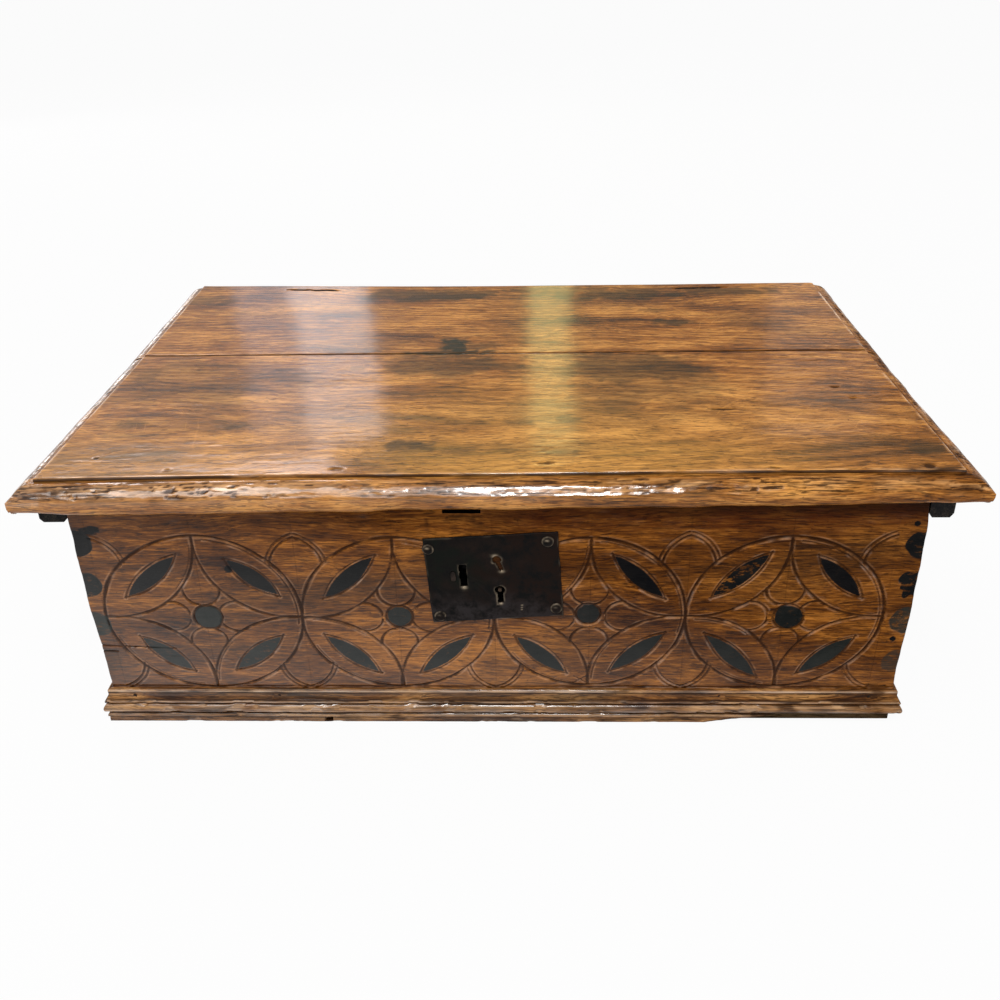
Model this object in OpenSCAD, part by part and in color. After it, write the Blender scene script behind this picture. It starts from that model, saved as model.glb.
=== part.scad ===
// Bible box: a low oak box with a hinged two-board lid, a carved front and an iron hasp lock.
// X runs along the front, Y runs from front to back, Z is up.
// The origin lies on the floor under the middle of the lid.

/* [Carcase] */
// Width of the carcase across its ends
box_w = 660; // [560:1:800]
// Depth of the carcase from front face to back face
box_d = 456; // [380:1:560]
// Height from the floor to the top edge of the boards
box_h = 212; // [205:1:280]
// Thickness of the front board
front_t = 20; // [18:0.5:26]
// Thickness of the back board
back_t = 18; // [16:0.5:24]
// Thickness of the end boards
end_t = 18; // [14:0.5:24]
// Thickness of the bottom boards
bottom_t = 13; // [10:0.5:16]
// Wood left in front of an end board where the front board is rabbeted
front_lap = 11; // [9:0.5:14]
// Wood left behind an end board where the back board is rabbeted
back_lap = 10; // [8:0.5:14]
// Depth of the front bottom board from the front face to its joint
bottom_joint = 240; // [200:1:300]

/* [Lid] */
// Thickness of the lid boards
lid_t = 21; // [19:0.5:26]
// Reach of the lid past the front face
lid_front_over = 13; // [8:0.5:20]
// Reach of the lid past the back face
lid_back_over = 12; // [11:0.5:20]
// Reach of the lid past each end
lid_end_over = 42; // [38:0.5:60]
// Depth of the front lid board from the front edge to the joint
lid_joint = 271; // [200:1:300]
// Open joint between the two lid boards
lid_joint_gap = 1.2; // [0.4:0.1:3]
// Width of the moulding along the front and the ends
edge_w = 18; // [16:0.5:24]
// Step down from the panel to the fillet of the moulding
edge_step = 2.5; // [1:0.1:4]
// Width of the flat fillet
edge_fillet = 3; // [2:0.1:5]
// Drop between the fillet and the thumbnail round
edge_quirk = 0.4; // [0.2:0.1:1]
// Radius of the thumbnail round
thumb_r = 17.5; // [16:0.1:18]
// Radius under the tip of the moulding
nose_r = 6.5; // [4:0.1:7]

/* [Battens] */
// Width of a lid batten
batten_w = 22; // [18:0.5:30]
// Height of a lid batten
batten_h = 16.6; // [12:0.1:24]
// Chamfer on the lower edges of a batten
batten_chamfer = 3; // [1:0.1:5]
// Running gap between a batten and the end of the carcase
batten_gap = 2; // [1:0.1:4]
// Distance of the batten from the front face of the carcase
batten_front = 3.5; // [0:0.5:10]
// Distance of the batten from the back face of the carcase
batten_back = 8; // [0:0.5:20]

/* [Plinth] */
// Height of the plinth moulding
plinth_h = 32.6; // [32:0.1:40]
// Projection of the flat band at the floor
band_out = 5.4; // [4.5:0.1:7]
// Height of the flat band
band_h = 5; // [3:0.1:6]
// Radius of the lower bead
low_bead_r = 2.1; // [1.5:0.1:2.5]
// Projection of the groove over the lower bead
groove_out = 4; // [3:0.1:4.5]
// Radius of the large round
torus_r = 3.4; // [2.8:0.1:3.8]
// Height of the middle of the large round
torus_z = 16.5; // [15:0.1:17.5]
// Radius of the small bead over the large round
top_bead_r = 1.7; // [1:0.1:2]
// Radius of the hollow under the top fillet
hollow_r = 6.2; // [5:0.1:8]
// Projection of the top fillet
top_out = 3; // [2:0.1:4.5]
// Distance from the middle where the break in the lower bead starts
break_start = 172; // [100:1:200]
// Distance from the middle where the break reaches its full height
break_full = 238; // [220:1:280]
// Height of the break under the large round
break_h = 10.4; // [6:0.1:12]
// Length of the break along the right return
break_side = 70; // [30:1:200]

/* [Carving] */
// Number of compass circles along the front
ring_count = 4; // [2:1:4]
// Distance between neighbouring circles
ring_pitch = 156.6; // [140:0.1:160]
// Radius of a compass circle
ring_r = 77.8; // [72:0.1:79]
// Height of the circle centres
ring_z = 110.3; // [108:0.1:116]
// Shift of the pattern to the left of the middle
ring_shift = 4.7; // [0:0.1:8]
// Width of a carved line
line_w = 1.8; // [1:0.1:3]
// Depth of a carved line
line_deep = 1.2; // [0.6:0.1:2]
// Width of a painted leaf
leaf_w = 12.5; // [8:0.1:16]
// Width of the cut around a leaf
leaf_line = 1.2; // [0.6:0.1:2]
// Depth of the painted leaves and discs
paint_deep = 0.8; // [0.4:0.1:1.2]
// Radius of the painted disc in a circle
disc_r = 10.3; // [8:0.1:13]
// Radius of the round at the foot of a petal
petal_r = 15.5; // [12:0.1:18]
// Distance of that round from the middle of the circle
petal_out = 27; // [22:0.1:32]
// Radius of the arcs in the corners between the circles
corner_r = 32; // [28:0.1:36]
// Distance between the two lines of a corner arc
corner_line = 3.4; // [2.5:0.1:5]
// Radius of the painted half discs on the ends of the front
edge_disc_r = 11.7; // [8:0.1:14]
// Reach of a half disc in from the end
edge_disc_in = 15; // [12:0.1:18]
// Height of the lowest half disc
edge_disc_z = 62; // [58:0.5:70]
// Distance between half discs
edge_disc_pitch = 38; // [30:0.5:40]

/* [Lock] */
// Width of the lock plate
plate_w = 106.5; // [100:0.5:120]
// Height of the lock plate
plate_h = 80; // [76:0.5:90]
// Thickness of the lock plate
plate_t = 2; // [1.5:0.1:3]
// Height of the middle of the lock plate
lock_z = 145; // [140:0.5:150]
// Shift of the lock plate to the left of the middle
lock_shift = 0.5; // [0:0.1:5]
// Tilt of the lock plate, right side up, in degrees
lock_tilt = 3.5; // [0:0.1:5]
// Depth of the lock recess in the front board
recess_deep = 12; // [11.9:0.1:14]
// Width of the hasp slot
slot_w = 6; // [5:0.1:6.5]
// Height of the hasp slot
slot_h = 21; // [16:0.5:24]
// Width of the hasp notch in the top edge of the front board
notch_w = 29; // [20:0.5:40]
// Depth of the hasp notch
notch_h = 5.3; // [4.5:0.1:8]
// Distance of the hasp notch to the left of the middle
notch_shift = 24.4; // [10:0.1:40]
// Radius of the keyhole
key_r = 4; // [3.5:0.1:4.5]
// Width of the keyhole below its round
key_w = 5; // [4.6:0.1:6]
// Length of the keyhole below the middle of its round
key_l = 12.8; // [10:0.1:14]
// Radius of the drill pin that the pipe key turns on
key_pin_r = 1.4; // [1:0.1:2]
// Thickness of the bolt
bolt_t = 4; // [3:0.1:5]
// Height of the bolt
bolt_h = 9; // [7:0.1:9.2]
// Clearance around the sliding bolt
bolt_gap = 0.15; // [0.1:0.01:0.3]

/* [Hinges] */
// Distance of each hinge in from the end of the carcase
hinge_in = 108; // [70:1:180]
// Radius of the hinge wire
wire_r = 1.3; // [1:0.05:1.4]
// Drop of the hinge axis under the lid, and its distance behind the back board
pivot_off = 5.2; // [5.2:0.1:6]
// Middle radius of the eye on the box
box_eye_r = 3.5; // [3.4:0.05:3.6]
// Middle radius of the eye on the lid
lid_eye_r = 3.3; // [3.2:0.05:3.4]
// Tilt of the lid hinge shank from upright, in degrees
lid_shank_tilt = 18; // [10:1:28]
// Tilt of the box hinge shank from level, in degrees
box_shank_tilt = 45; // [35:1:50]
// Length of each leg clinched on top of the lid
lid_clinch = 26; // [15:0.5:40]
// Length of the upper leg clinched inside the back board
box_clinch_up = 11; // [6:0.5:12]
// Length of the lower leg clinched inside the back board
box_clinch_down = 22; // [10:0.5:40]

/* [Nails] */
// Radius of a nail shank
shank_r = 1.4; // [1:0.1:1.8]
// Radius of a nail head
head_r = 3.1; // [2.4:0.1:4]
// Thickness of a sunk nail head
head_t = 1.2; // [0.8:0.1:1.6]
// Length of the carcase nails
nail_l = 42; // [34:1:50]
// Length of the plinth nails
brad_l = 16; // [12:1:18]
// Radius of the plinth nail heads
brad_head_r = 1.7; // [1.5:0.1:2.2]
// Radius of the domed heads on the lock plate
dome_r = 4.9; // [4:0.1:5.5]
// Height of the domed heads
dome_h = 2; // [1.2:0.1:3]
// Length of the lock plate nails
lock_nail_l = 14; // [10:0.5:15]
// Clearance around nails and hinge legs in the wood
fit = 0.1; // [0.05:0.01:0.2]

/* [Hidden] */
$fn = 64;

lid_w = box_w + 2 * lid_end_over;
lid_d = box_d + lid_front_over + lid_back_over;
front_y = lid_front_over - lid_d / 2;
back_y = front_y + box_d;
inner_back_y = back_y - back_t;
wall_h = box_h - bottom_t;
lid_front_y = -lid_d / 2;
lid_back_y = lid_d / 2;
lid_joint_y = lid_front_y + lid_joint;
end_mid_x = box_w / 2 - end_t / 2;
batten_mid_x = box_w / 2 + batten_gap + batten_w / 2;
// Overshoot of a cut past the face that it opens
eps = 1;

// Plinth profile
plinth_reach = 30;
low_bead_z = band_h + low_bead_r - 0.2;
low_bead_x = groove_out + 0.3;
torus_x = groove_out + 0.6;
quirk_out = torus_x + 0.3;
top_bead_z = torus_z + torus_r + top_bead_r;
hollow_low = top_bead_z + top_bead_r - 0.1;
hollow_top = plinth_h - 3;

// Carving
leaf_r = ring_r;
// Middle of the leaf between a circle and its mirrored arc
leaf_out = ring_r * sqrt(0.5);
ring_x0 = -ring_shift - ring_pitch * (ring_count - 1) / 2;
corner_tip = ring_r + 0.9;
corner_half = 10.8;
corner_drop = sqrt(corner_r * corner_r - corner_half * corner_half);
edge_disc_x = box_w / 2 - edge_disc_in + edge_disc_r;
edge_disc_count = 4;

// Lock, in the tilted frame of the plate: x to the right, y into the board, z up
slot_x = -24.3;
slot_z = 4;
key_x = 3.6;
key_z = -11.5;
old_key_x = 3.4;
old_key_z = 17.2;
old_key_r = 3.6;
old_key_w = 3.8;
old_key_l = 11;
old_key_tilt = 17;
// Distance of each plate nail from the two edges beside it: top left, top right, bottom right, bottom left
plate_nails = [[3.9, 9.2], [8.8, 8.1], [5.8, 8.5], [6.8, 6.8]];
bolt_z = -5;
bolt_tip = slot_x + slot_w / 2 + 1.8;
bolt_end = 36;
bolt_y = bolt_gap;
stop_w = 4;
stop_h = 9;
stop_x = slot_x - slot_w / 2 - stop_w / 2 - 3;
stop_z = slot_z;
stop_proud = 0.2;
stop_gap = 0.3;
bolt_travel = bolt_tip - (stop_x + stop_w / 2) - stop_gap;
talon_w = 8;
talon_h = 5;
talon_x = key_x + bolt_travel / 2;
guide_w = 4.5;
guide_t = 1.6;
guide_leg = 2;
guide_xs = [bolt_tip + 2.4, bolt_end - 9];
key_sweep = key_l - 1;
bridge_w = 9;
bridge_leg = 3;
bridge_in_y = 9;
bridge_t = 1.6;
bridge_gap = 0.5;
pin_short = 0.4;
pin_head_r = key_pin_r + 0.8;
pin_head_t = 0.8;
spring_r = 14.8;
spring_t = 0.8;
spring_wide = 3.2;
spring_in_y = 0.6;
spring_from = 245;
spring_sweep = 73;
spring_x = 18;
spring_z = bolt_z + bolt_h + stop_gap + spring_r;
spring_foot_x = spring_x + 10;
spring_foot_z = spring_z - 11.2;
spring_foot_w = 5;
spring_foot_h = 5;
recess_low = -30;
stop_pocket_low = -12;
stop_pocket_high = 19;
spring_pocket_high = 16;
spring_pocket_left = spring_x - 7;
recess_mid = 5;
recess_left = -38;
recess_right = bolt_end + 4;
pocket_left = stop_x - stop_w / 2 - 1.7;
pocket_right = guide_xs[0] + guide_w + 1.5;

// Hinges
hinge_x = box_w / 2 - hinge_in;
pivot_y = back_y + pivot_off;
pivot_z = box_h - pivot_off;
// The legs are drawn a little thinner than the eyes
leg_r = wire_r - 0.1;
leg_off = leg_r + 0.05;
leg_bore_r = leg_off + leg_r + fit;
// Radius of the hammered bend where a leg is turned over
bend_ball_r = leg_r + 0.06;
leg_sink = leg_r + 0.1;
groove_w = 2 * (leg_r + fit);
groove_deep = leg_sink + leg_r + fit;
lid_leg_l = (pivot_off + lid_t - leg_sink) / cos(lid_shank_tilt);
box_reach = pivot_off + back_t - leg_sink;
box_leg_up = box_reach / cos(box_shank_tilt) - leg_off * tan(box_shank_tilt);
box_leg_down = box_reach / cos(box_shank_tilt) + leg_off * tan(box_shank_tilt);
// Length of the point of a nail or a leg, and the radius left at its end
point_l = 4;
point_r = 0.4;
// Overlap of a leg with its eye
eye_weld = 0.6;
eye_pocket_r = lid_eye_r + wire_r + 0.6;
eye_pocket_deep = 2.8;
eye_pocket_shift = 2;

// Nail places
edge_zs = [for (i = [0 : edge_disc_count - 1]) edge_disc_z + i * edge_disc_pitch];
back_zs = [for (i = [0 : 3]) bottom_t + 32 + i * (wall_h - 64) / 3];
bottom_xs = [for (i = [-2 : 2]) i * (box_w - 120) / 4];
bottom_ys = [for (i = [-1, 0, 1]) (front_y + back_y) / 2 + 25 + i * (box_d - 140) / 2];
front_brad_xs = [for (i = [0 : 5]) (i - 2.5) * (box_w - 40) / 5];
side_brad_ys = [for (i = [0 : 2]) front_y + 60 + i * (box_d - 100) / 2];
brad_z = (hollow_low + hollow_top) / 2;
batten_ys = [front_y + 40, lid_joint_y - 35, lid_joint_y + 35, back_y - 45];
// Depth of the plinth nail heads, measured from the face of the box
box_brad_in = 3.4;
brad_shank_r = shank_r - 0.3;
back_head_r = head_r + 0.9;
// The batten nails end inside the lid
batten_nail_l = batten_h + lid_t - 8;

module flip_x() {
    children();
    mirror([1, 0, 0]) children();
}

// A nail that points up, with its head sunk so that the top of the head is at z = 0
module sunk_nail(head, shank, l) {
    cylinder(r = head, h = head_t);
    translate([0, 0, head_t]) cylinder(r = shank, h = l - head_t - point_l);
    translate([0, 0, l - point_l]) cylinder(r1 = shank, r2 = point_r, h = point_l);
}

// The hole for that nail
module sunk_nail_hole(head, shank, l) {
    translate([0, 0, -eps]) cylinder(r = head + fit, h = head_t + eps);
    cylinder(r = shank + fit, h = l + fit);
}

// A nail that points up, with a domed head standing on the plane z = 0
module dome_nail(head, h, shank, l) {
    ball = (head * head + h * h) / (2 * h);
    intersection() {
        translate([0, 0, ball - h]) sphere(r = ball);
        translate([-2 * head, -2 * head, -h - eps]) cube([4 * head, 4 * head, h + eps]);
    }
    cylinder(r = shank, h = l - point_l);
    translate([0, 0, l - point_l]) cylinder(r1 = shank, r2 = point_r, h = point_l);
}

module dome_nail_hole(shank, l) {
    translate([0, 0, -eps]) cylinder(r = shank + fit, h = l + fit + eps);
}

module at_front_nails() {
    for (z = edge_zs)
        for (s = [-1, 1])
            translate([s * end_mid_x, front_y + paint_deep, z]) rotate([-90, 0, 0]) children();
}

module at_back_nails() {
    for (z = back_zs)
        for (s = [-1, 1])
            translate([s * end_mid_x, back_y, z]) rotate([90, 0, 0]) children();
}

module at_bottom_nails() {
    for (x = bottom_xs) {
        translate([x, front_y + front_t / 2, 0]) children();
        translate([x, back_y - back_t / 2, 0]) children();
    }
    for (y = bottom_ys)
        for (s = [-1, 1])
            translate([s * end_mid_x, y, 0]) children();
}

module at_plinth_nails() {
    for (x = front_brad_xs)
        translate([x, front_y - box_brad_in, brad_z]) rotate([-90, 0, 0]) children();
    for (y = side_brad_ys) {
        translate([-box_w / 2 - box_brad_in, y, brad_z]) rotate([0, 90, 0]) children();
        translate([box_w / 2 + box_brad_in, y, brad_z]) rotate([0, -90, 0]) children();
    }
}

module at_batten_nails() {
    for (y = batten_ys)
        for (s = [-1, 1])
            translate([s * batten_mid_x, y, box_h - batten_h]) children();
}

// The tilted frame of the lock plate, with y = 0 on the face of the front board
module at_lock() {
    translate([-lock_shift, front_y, lock_z]) rotate([0, -lock_tilt, 0]) children();
}

module at_lock_nails() {
    x0 = plate_w / 2;
    z0 = plate_h / 2;
    places = [
        [-x0 + plate_nails[0][0], z0 - plate_nails[0][1]],
        [x0 - plate_nails[1][0], z0 - plate_nails[1][1]],
        [x0 - plate_nails[2][0], -z0 + plate_nails[2][1]],
        [-x0 + plate_nails[3][0], -z0 + plate_nails[3][1]],
    ];
    for (p = places)
        at_lock() translate([p[0], -plate_t, p[1]]) rotate([-90, 0, 0]) children();
}

// A ring of the given middle radius, drawn flat
module ring2d(r, w) {
    difference() {
        circle(r = r + w / 2, $fn = 96);
        circle(r = r - w / 2, $fn = 96);
    }
}

// A leaf between two arcs, lying along x
module leaf2d(w) {
    intersection() {
        translate([0, leaf_r - w / 2]) circle(r = leaf_r, $fn = 96);
        translate([0, w / 2 - leaf_r]) circle(r = leaf_r, $fn = 96);
    }
}

// The lines cut inside one circle
module circle_lines() {
    ring2d(ring_r, line_w);
    intersection() {
        circle(r = ring_r, $fn = 96);
        for (a = [0, 90, 180, 270])
            rotate(a) translate([ring_r, ring_r]) ring2d(ring_r, line_w);
    }
    ring2d(disc_r + line_w / 2 + 0.6, line_w);
    for (a = [0, 90, 180, 270])
        rotate(a)
            difference() {
                intersection() {
                    translate([0, petal_out]) ring2d(petal_r, line_w);
                    translate([-petal_r - line_w, 0]) square([2 * (petal_r + line_w), petal_out + 2]);
                }
                circle(r = disc_r + line_w / 2);
            }
    for (a = [45, 135, 225, 315])
        rotate(a)
            translate([leaf_out, 0])
                rotate(90)
                    difference() {
                        leaf2d(leaf_w + 2 * leaf_line);
                        leaf2d(leaf_w);
                    }
}

// The painted ground inside one circle
module circle_paint() {
    circle(r = disc_r);
    for (a = [45, 135, 225, 315])
        rotate(a) translate([leaf_out, 0]) rotate(90) leaf2d(leaf_w);
}

// The pair of arcs to the right of a corner tip, seen from the point between two circles
module corner_arcs() {
    difference() {
        intersection() {
            translate([-corner_half, corner_tip - corner_drop]) {
                ring2d(corner_r, line_w);
                ring2d(corner_r + corner_line, line_w);
            }
            translate([0, ring_r / 2]) square([ring_r / 2, corner_tip - ring_r / 2]);
        }
        translate([ring_pitch / 2, 0]) circle(r = ring_r, $fn = 96);
    }
}

module carved_lines() {
    for (i = [0 : ring_count - 1])
        translate([ring_x0 + i * ring_pitch, ring_z]) circle_lines();
    for (i = [0 : ring_count])
        translate([ring_x0 + (i - 0.5) * ring_pitch, ring_z])
            for (s = [0, 1])
                mirror([0, s]) {
                    if (i < ring_count) corner_arcs();
                    if (i > 0) mirror([1, 0]) corner_arcs();
                }
}

// The carving as a cut, standing on the front face and reaching into the board
module carving() {
    translate([0, front_y, 0]) rotate([90, 0, 0]) translate([0, 0, -line_deep])
        linear_extrude(line_deep + eps) carved_lines();
    translate([0, front_y, 0]) rotate([90, 0, 0]) translate([0, 0, -paint_deep])
        linear_extrude(paint_deep + eps)
            for (i = [0 : ring_count - 1])
                translate([ring_x0 + i * ring_pitch, ring_z]) circle_paint();
}

module edge_discs() {
    for (z = edge_zs)
        for (s = [-1, 1])
            translate([s * edge_disc_x, front_y - eps, z])
                rotate([-90, 0, 0]) cylinder(r = edge_disc_r, h = paint_deep + eps);
}

module lock_recess() {
    at_lock() translate([0, -eps, 0]) {
        translate([recess_left, 0, recess_low])
            cube([recess_right - recess_left, recess_deep + eps, recess_mid - recess_low]);
        translate([pocket_left, 0, stop_pocket_low])
            cube([pocket_right - pocket_left, recess_deep + eps, stop_pocket_high - stop_pocket_low]);
        translate([spring_pocket_left, 0, 0])
            cube([recess_right - spring_pocket_left, recess_deep + eps, spring_pocket_high]);
    }
}

module front_board() color([0.42, 0.20, 0.09]) {
    difference() {
        translate([-box_w / 2, front_y, bottom_t]) cube([box_w, front_t, wall_h]);
        flip_x()
            translate([box_w / 2 - end_t, front_y + front_lap, bottom_t - eps])
                cube([end_t + eps, front_t, wall_h + 2 * eps]);
        translate([-notch_shift - notch_w / 2, front_y - eps, box_h - notch_h])
            cube([notch_w, front_t + 2 * eps, notch_h + eps]);
        carving();
        edge_discs();
        lock_recess();
        at_front_nails() sunk_nail_hole(head_r, shank_r, nail_l);
        at_bottom_nails() sunk_nail_hole(head_r, shank_r, nail_l);
        at_plinth_nails() sunk_nail_hole(brad_head_r, brad_shank_r, brad_l);
        at_lock_nails() dome_nail_hole(shank_r, lock_nail_l + plate_t);
    }
}

module back_board() color([0.36, 0.19, 0.10]) {
    difference() {
        translate([-box_w / 2, inner_back_y, bottom_t]) cube([box_w, back_t, wall_h]);
        flip_x()
            translate([box_w / 2 - end_t, inner_back_y - eps, bottom_t - eps])
                cube([end_t + eps, back_t - back_lap + eps, wall_h + 2 * eps]);
        at_back_nails() dome_nail_hole(shank_r, nail_l);
        at_bottom_nails() sunk_nail_hole(head_r, shank_r, nail_l);
        flip_x() box_hinge_hole();
    }
}

module end_board() {
    translate([box_w / 2 - end_t, front_y + front_lap, bottom_t])
        cube([end_t, box_d - front_lap - back_lap, wall_h]);
}

module left_end_board() color([0.38, 0.19, 0.09]) {
    difference() {
        mirror([1, 0, 0]) end_board();
        end_board_holes();
    }
}

module right_end_board() color([0.38, 0.19, 0.09]) {
    difference() {
        end_board();
        end_board_holes();
    }
}

module end_board_holes() {
    at_front_nails() sunk_nail_hole(head_r, shank_r, nail_l);
    at_back_nails() dome_nail_hole(shank_r, nail_l);
    at_bottom_nails() sunk_nail_hole(head_r, shank_r, nail_l);
    at_plinth_nails() sunk_nail_hole(brad_head_r, brad_shank_r, brad_l);
}

module bottom_front_board() color([0.27, 0.16, 0.10]) {
    difference() {
        translate([-box_w / 2, front_y, 0]) cube([box_w, bottom_joint - fit, bottom_t]);
        at_bottom_nails() sunk_nail_hole(head_r, shank_r, nail_l);
    }
}

module bottom_rear_board() color([0.27, 0.16, 0.10]) {
    difference() {
        translate([-box_w / 2, front_y + bottom_joint + fit, 0])
            cube([box_w, box_d - bottom_joint - fit, bottom_t]);
        at_bottom_nails() sunk_nail_hole(head_r, shank_r, nail_l);
    }
}

// Section of the plinth: x is the distance out from the face of the box, y is the height
module plinth_section() {
    square([band_out, band_h]);
    translate([low_bead_x, low_bead_z]) circle(r = low_bead_r);
    square([groove_out, torus_z]);
    translate([torus_x, torus_z]) circle(r = torus_r);
    square([quirk_out, hollow_low]);
    translate([quirk_out - 0.2, top_bead_z]) circle(r = top_bead_r);
    square([top_out, plinth_h]);
    difference() {
        square([quirk_out + 1, hollow_top]);
        translate([-eps, -eps]) square([quirk_out + 2 * eps + 1, hollow_low + eps]);
        translate([top_out + hollow_r - 0.1, hollow_top - 1.2]) circle(r = hollow_r);
    }
}

// The section less the groove over the lower bead
module plinth_outline() {
    difference() {
        plinth_section();
        translate([groove_out, low_bead_z + low_bead_r - 0.1])
            square([eps + 1, torus_z - torus_r - low_bead_z - low_bead_r + 0.6]);
    }
}

module plinth_break() {
    translate([0, front_y + eps, 0]) rotate([90, 0, 0])
        linear_extrude(plinth_reach)
            polygon([
                [break_start, -eps], [break_start, 0], [break_full, break_h],
                [box_w / 2 + plinth_reach, break_h], [box_w / 2 + plinth_reach, -eps],
            ]);
}

module front_plinth() color([0.45, 0.27, 0.13]) {
    difference() {
        intersection() {
            translate([-box_w / 2 - plinth_reach, front_y, 0])
                rotate([90, 0, 90]) linear_extrude(box_w + 2 * plinth_reach)
                    mirror([1, 0]) plinth_outline();
            linear_extrude(plinth_h + eps)
                polygon([
                    [-box_w / 2, front_y], [box_w / 2, front_y],
                    [box_w / 2 + plinth_reach, front_y - plinth_reach],
                    [-box_w / 2 - plinth_reach, front_y - plinth_reach],
                ]);
        }
        plinth_break();
        at_plinth_nails() sunk_nail_hole(brad_head_r, brad_shank_r, brad_l);
    }
}

module side_plinth() {
    intersection() {
        translate([box_w / 2, back_y, 0])
            rotate([90, 0, 0]) linear_extrude(box_d + plinth_reach) plinth_outline();
        linear_extrude(plinth_h + eps)
            polygon([
                [box_w / 2, front_y], [box_w / 2 + plinth_reach, front_y - plinth_reach],
                [box_w / 2 + plinth_reach, back_y], [box_w / 2, back_y],
            ]);
    }
}

module left_plinth() color([0.42, 0.25, 0.13]) {
    difference() {
        mirror([1, 0, 0]) side_plinth();
        at_plinth_nails() sunk_nail_hole(brad_head_r, brad_shank_r, brad_l);
    }
}

module right_plinth() color([0.42, 0.25, 0.13]) {
    difference() {
        side_plinth();
        translate([box_w / 2 - eps, 0, 0]) rotate([90, 0, 90])
            linear_extrude(plinth_reach)
                polygon([
                    [front_y - plinth_reach, -eps], [front_y - plinth_reach, break_h],
                    [front_y + break_side - break_h * 2, break_h], [front_y + break_side, 0],
                    [front_y + break_side, -eps],
                ]);
        at_plinth_nails() sunk_nail_hole(brad_head_r, brad_shank_r, brad_l);
    }
}

module front_nails() color([0.12, 0.10, 0.09]) {
    at_front_nails() sunk_nail(head_r, shank_r, nail_l);
}

module back_nails() color([0.14, 0.11, 0.10]) {
    at_back_nails() dome_nail(back_head_r, head_t, shank_r, nail_l);
}

module bottom_nails() color([0.14, 0.11, 0.10]) {
    at_bottom_nails() sunk_nail(head_r, shank_r, nail_l);
}

module plinth_nails() color([0.14, 0.11, 0.10]) {
    at_plinth_nails() sunk_nail(brad_head_r, brad_shank_r, brad_l);
}

module batten_nails() color([0.14, 0.11, 0.10]) {
    at_batten_nails() sunk_nail(head_r, shank_r, batten_nail_l);
}

// What the moulding plane takes off a square edge: the tip is at x = 0, the top at y = 0
module edge_cut() {
    thumb_x = edge_w - edge_fillet;
    thumb_y = -edge_step - edge_quirk - thumb_r;
    translate([-eps, -edge_step]) square([edge_w + eps, edge_step + eps]);
    difference() {
        translate([-eps, thumb_y]) square([thumb_x + eps, -thumb_y]);
        translate([thumb_x, thumb_y]) circle(r = thumb_r, $fn = 96);
    }
    difference() {
        translate([-eps, -lid_t - eps]) square([nose_r + eps, nose_r + eps]);
        translate([nose_r, nose_r - lid_t]) circle(r = nose_r);
    }
}

// Section of the lid across its ends, with the underside at y = 0
module lid_end_section() {
    difference() {
        translate([-lid_w / 2, 0]) square([lid_w, lid_t]);
        translate([-lid_w / 2, lid_t]) edge_cut();
        mirror([1, 0]) translate([-lid_w / 2, lid_t]) edge_cut();
    }
}

module lid_slab(y0, y1) {
    translate([0, y1, box_h]) rotate([90, 0, 0]) linear_extrude(y1 - y0) lid_end_section();
}

module lid_front_board() color([0.46, 0.24, 0.10]) {
    difference() {
        intersection() {
            lid_slab(lid_front_y, lid_joint_y - lid_joint_gap / 2);
            translate([-lid_w / 2 - eps, lid_front_y, box_h]) rotate([90, 0, 90])
                linear_extrude(lid_w + 2 * eps)
                    difference() {
                        square([lid_joint + eps, lid_t]);
                        translate([0, lid_t]) edge_cut();
                    }
        }
        at_batten_nails() sunk_nail_hole(head_r, shank_r, batten_nail_l);
    }
}

module lid_rear_board() color([0.43, 0.22, 0.10]) {
    difference() {
        lid_slab(lid_joint_y + lid_joint_gap / 2, lid_back_y);
        at_batten_nails() sunk_nail_hole(head_r, shank_r, batten_nail_l);
        flip_x() lid_hinge_hole();
    }
}

module batten() {
    difference() {
        translate([box_w / 2 + batten_gap, back_y - batten_back, box_h])
            rotate([90, 0, 0])
                linear_extrude(box_d - batten_front - batten_back)
                    polygon([
                        [0, 0], [batten_w, 0], [batten_w, batten_chamfer - batten_h],
                        [batten_w - batten_chamfer, -batten_h], [batten_chamfer, -batten_h],
                        [0, batten_chamfer - batten_h],
                    ]);
        at_batten_nails() sunk_nail_hole(head_r, shank_r, batten_nail_l);
    }
}

module left_batten() color([0.10, 0.09, 0.08]) mirror([1, 0, 0]) batten();

module right_batten() color([0.10, 0.09, 0.08]) batten();

// A leg that rises along z from l0 to l1, is turned over towards +y and runs on for l2 to its point
module hinge_leg(l0, l1, turn, l2) {
    translate([0, 0, l0]) cylinder(r = leg_r, h = l1 - l0, $fn = 32);
    translate([0, 0, l1]) {
        sphere(r = bend_ball_r, $fn = 32);
        rotate([-turn, 0, 0]) {
            cylinder(r = leg_r, h = l2 - point_l, $fn = 32);
            translate([0, 0, l2 - point_l]) cylinder(r1 = leg_r, r2 = point_r, h = point_l, $fn = 32);
        }
    }
}

module eye(r) {
    rotate([0, 90, 0]) rotate_extrude() translate([r, 0]) circle(r = wire_r, $fn = 32);
}

// Frame of the lid half: z up its shank, y across the hinge
module at_lid_pin() {
    translate([hinge_x, pivot_y, pivot_z]) rotate([lid_shank_tilt, 0, 0]) rotate([0, 0, 90]) children();
}

// Frame of the box half: z down its shank into the back board
module at_box_pin() {
    translate([hinge_x, pivot_y, pivot_z]) rotate([90 + box_shank_tilt, 0, 0]) children();
}

module lid_hinge_pin() {
    at_lid_pin() {
        translate([0, 0, lid_eye_r]) eye(lid_eye_r);
        for (s = [0, 1])
            mirror([0, s, 0]) translate([0, leg_off, 0])
                hinge_leg(2 * lid_eye_r - eye_weld, lid_leg_l, 90, lid_clinch);
    }
}

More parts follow.
